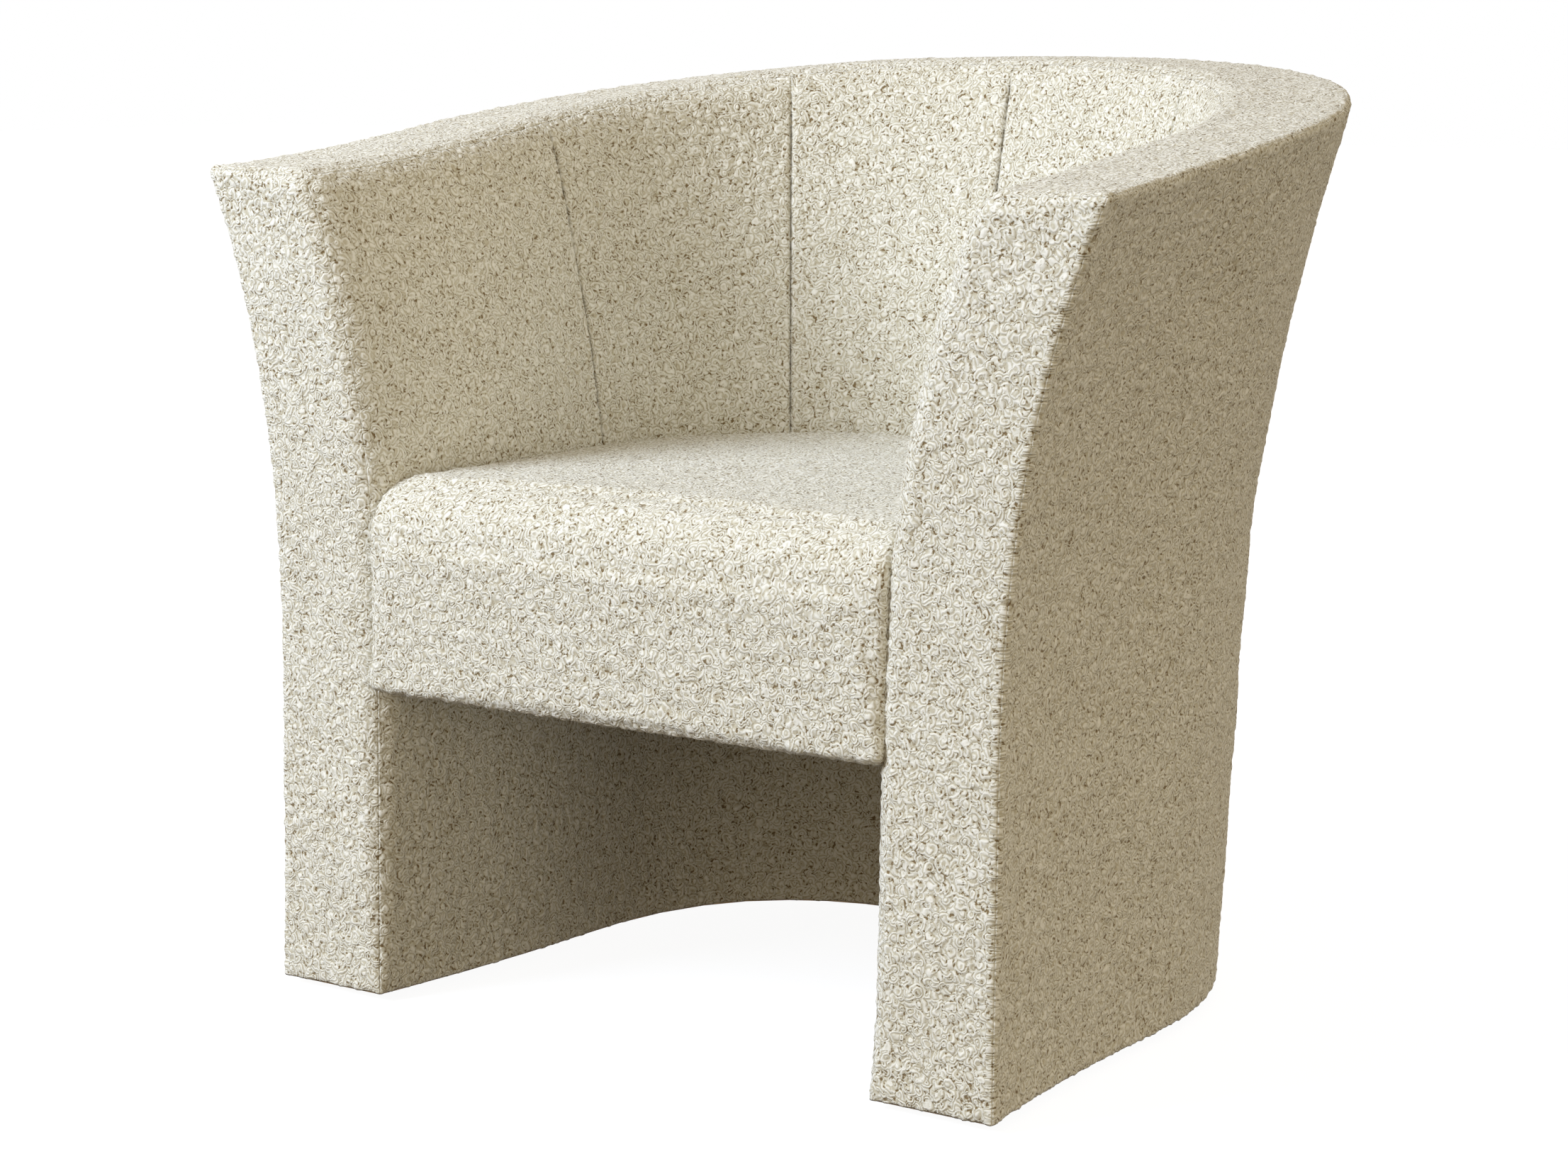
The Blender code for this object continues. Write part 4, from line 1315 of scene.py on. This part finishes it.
@dataclass
class Lining:
    """A level D-shaped sheet inside the wall: the dust cover below the seat, or the felt on its springs."""

    wall: WallShape
    cloth: bpy.types.Material
    node: str
    name: str
    slot: str
    rests_on: list[str]
    clearance: float
    sag: float
    thickness: float
    held: str
    ripple: float = 0.0004
    rows: int = 60
    columns: int = 71
    clear: float = 0.001
    back_clear: float = 0.0012

    def build(self) -> bpy.types.Object:
        """Make the sheet."""
        low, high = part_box(self.node)
        level = (low.z + high.z) / 2
        start = low.y + self.wall.middle + self.clear
        stop = high.y + self.wall.middle - self.back_clear
        place = start + (stop - start) * np.sin(np.linspace(0.0, math.pi / 2, self.rows))
        half = self.wall.inner_half_width(place, level, self.wall.thickness + self.clearance)
        half = np.minimum(half, high.x - self.clear)
        across = np.linspace(-1.0, 1.0, self.columns)
        x = half[:, None] * across
        y = np.repeat((place - self.wall.middle)[:, None], self.columns, 1)
        share = ((place - start) / (stop - start))[:, None]
        hang = (1 - across**2) * np.sin(math.pi * np.clip(share, 0.0, 1.0))
        z = level - self.sag * hang + self.ripple * np.sin(x * 61 + 3 * np.sin(y * 23)) * hang
        points = np.stack([x, y, z], -1).reshape(-1, 3)
        piece = body_mesh(self.name, points, grid_faces(*x.shape).reshape(-1, 4), {})
        thick = piece.modifiers.new("thickness", "SOLIDIFY")
        thick.thickness = self.thickness
        thick.offset = 0.0
        apply_all(piece)
        piece.data.materials.append(self.cloth)
        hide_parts(self.node)
        return piece


@dataclass
class BareFrame:
    """The frame, springs, skins and glides that the CAD shows itself, with their real finishes."""

    finishes: dict[str, Finish] = field(default_factory=lambda: {
        "plywood": BirchPly(), "beech": Beech(), "hardboard": Hardboard(),
        "spring_steel": SpringSteel(), "nylon": MouldedNylon(),
    })

    def dress(self) -> None:
        """Give every CAD node still shown its finish, laid by its own longest and shortest sides."""
        slots = {row["node"]: row["material_slot"] for row in frame["record"]["subparts"]}
        made: dict[tuple, bpy.types.Material] = {}
        for name, node in sorted(frame["nodes"].items()):
            if node.hide_render:
                continue
            low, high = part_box(name)
            sides = [high[axis] - low[axis] for axis in range(3)]
            finish = self.finishes[slots[name]]
            laid = (int(np.argmin(sides)), int(np.argmax(sides))) if finish.grained else ()
            key = (slots[name], *laid)
            if key not in made:
                made[key] = finish.material(*laid)
            node.data.materials.clear()
            node.data.materials.append(made[key])
            LOG.info("%s: %s", name, made[key].name)


# ---- Stage, light and camera ---------------------------------------------------------------------


@dataclass(frozen=True)
class Studio:
    """Plain pale floor, soft light and the camera."""

    camera_place: tuple = (1.630, -2.409, 0.800)
    camera_tilt: float = 9.22
    camera_pan: float = 35.39
    lens: float = 78.5
    floor_size: float = 40.0
    key_place: tuple = (-2.45, -3.35, 2.95)
    key_aim: float = 0.45
    key_size: float = 2.2
    key_power: float = 201.0
    key_colour: tuple = (0.93, 1.03, 1.17)
    fill_place: tuple = (2.9, -1.5, 0.16)
    fill_aim: float = 0.60
    fill_size: float = 1.0
    fill_power: float = 16.0
    fill_colour: tuple = (1.0, 0.91, 0.72)
    sky: tuple = (0.38, 0.335, 0.265)
    horizon: tuple = (0.98, 0.835, 0.59)
    ground: tuple = (0.036, 0.019, 0.005)
    sky_band: tuple = (0.10, 0.75)
    ground_band: tuple = (-0.15, 0.10)
    floor_colour: tuple = (0.16, 0.17, 0.19, 1.0)
    floor_glow: float = 0.93

    def build(self) -> None:
        """Set the stage."""
        self.camera()
        self.floor()
        self.lights()

    def camera(self) -> None:
        """Make the camera."""
        data = bpy.data.cameras.new("camera")
        data.lens = self.lens
        data.sensor_width = 36.0
        data.clip_end = 100.0
        camera = bpy.data.objects.new("camera", data)
        camera.location = self.camera_place
        camera.rotation_euler = (
            math.radians(90 - self.camera_tilt), 0.0, math.radians(self.camera_pan)
        )
        bpy.context.scene.collection.objects.link(camera)
        bpy.context.scene.camera = camera

    def floor(self) -> None:
        """Make the floor."""
        half = self.floor_size / 2
        mesh = bpy.data.meshes.new("floor")
        mesh.from_pydata(
            [(-half, -half, 0), (half, -half, 0), (half, half, 0), (-half, half, 0)], [],
            [(0, 1, 2, 3)],
        )
        made = bpy.data.materials.new("floor")
        made.use_nodes = True
        shader = made.node_tree.nodes["Principled BSDF"]
        shader.inputs["Base Color"].default_value = self.floor_colour
        shader.inputs["Roughness"].default_value = 0.9
        shader.inputs["Emission Color"].default_value = (1.0, 1.0, 1.0, 1.0)
        shader.inputs["Emission Strength"].default_value = self.floor_glow
        mesh.materials.append(made)
        floor = bpy.data.objects.new("floor", mesh)
        bpy.context.scene.collection.objects.link(floor)
        floor.visible_diffuse = False

    def lights(self) -> None:
        """Make the lights."""
        world = bpy.data.worlds.new("studio")
        bpy.context.scene.world = world
        world.use_nodes = True
        bench = Bench(world.node_tree)
        way = bench.node("ShaderNodeSeparateXYZ", {
            "Vector": bench.node("ShaderNodeTexCoord").outputs["Generated"],
        })
        high = bench.eased(way.outputs["Z"], *self.sky_band)
        light = bench.mix(high, (*self.horizon, 1.0), (*self.sky, 1.0))
        level = bench.eased(way.outputs["Z"], *self.ground_band)
        light = bench.mix(level, (*self.ground, 1.0), light)
        seen = bench.node("ShaderNodeLightPath").outputs["Is Camera Ray"]
        bench.join(
            bench.mix(seen, light, (1.0, 1.0, 1.0, 1.0)),
            world.node_tree.nodes["Background"].inputs["Color"],
        )
        self.area(
            "key", self.key_place, self.key_aim, self.key_size, self.key_power, self.key_colour
        )
        self.area(
            "fill", self.fill_place, self.fill_aim, self.fill_size, self.fill_power, self.fill_colour
        )
        bpy.context.scene.view_settings.view_transform = "Standard"

    def area(self, name: str, place: tuple, aim: float, size: float, power: float,
             colour: tuple) -> None:
        """Make one square soft light that faces the chair.

        Args:
            name: Its name.
            place: Where it stands.
            aim: Height of the spot on the chair's middle line that it faces.
            size: Length of its sides.
            power: Watts.
            colour: Its colour.
        """
        data = bpy.data.lights.new(name, "AREA")
        data.size = size
        data.energy = power
        data.color = colour
        lamp = bpy.data.objects.new(name, data)
        lamp.location = place
        toward = np.subtract((0.0, 0.0, aim), place)
        flat = math.hypot(toward[0], toward[1])
        lamp.rotation_euler = (
            math.pi / 2 - math.atan2(-toward[2], flat), 0.0, math.atan2(-toward[0], toward[1])
        )
        bpy.context.scene.collection.objects.link(lamp)


def main() -> None:
    """Build the chair's looks in order."""
    logging.basicConfig(level=logging.INFO, format="%(message)s")
    Studio().build()
    pile = CurlyPile()
    wall, fabric, relief = WallShape(), pile.material(), pile.relief_group()
    WallCovers(wall, fabric, relief).build()
    SeatCover(wall, fabric, relief).build()
    foam = OpenCellFoam().material()
    WallFoam(wall, foam).build()
    SeatFoam(wall, foam, relief).build()
    Lining(
        wall, SpunDustCloth().material(), node="seat_dust_cover", name="seat_dust_cloth",
        slot="dust_cloth", rests_on=["front_rail", "back_rail", "side_rail_left", "side_rail_right"],
        clearance=0.0022, sag=0.003, thickness=0.0006, held="stretched",
    ).build()
    Lining(
        wall, NeedledFelt().material(), node="spring_insulator", name="spring_felt", slot="felt",
        rests_on=[f"zigzag_spring_{number}" for number in range(1, 5)],
        clearance=0.0060, sag=0.0, thickness=0.0026, held="laid", ripple=0.0,
    ).build()
    BareFrame().dress()


if __name__ == "__main__":
    main()
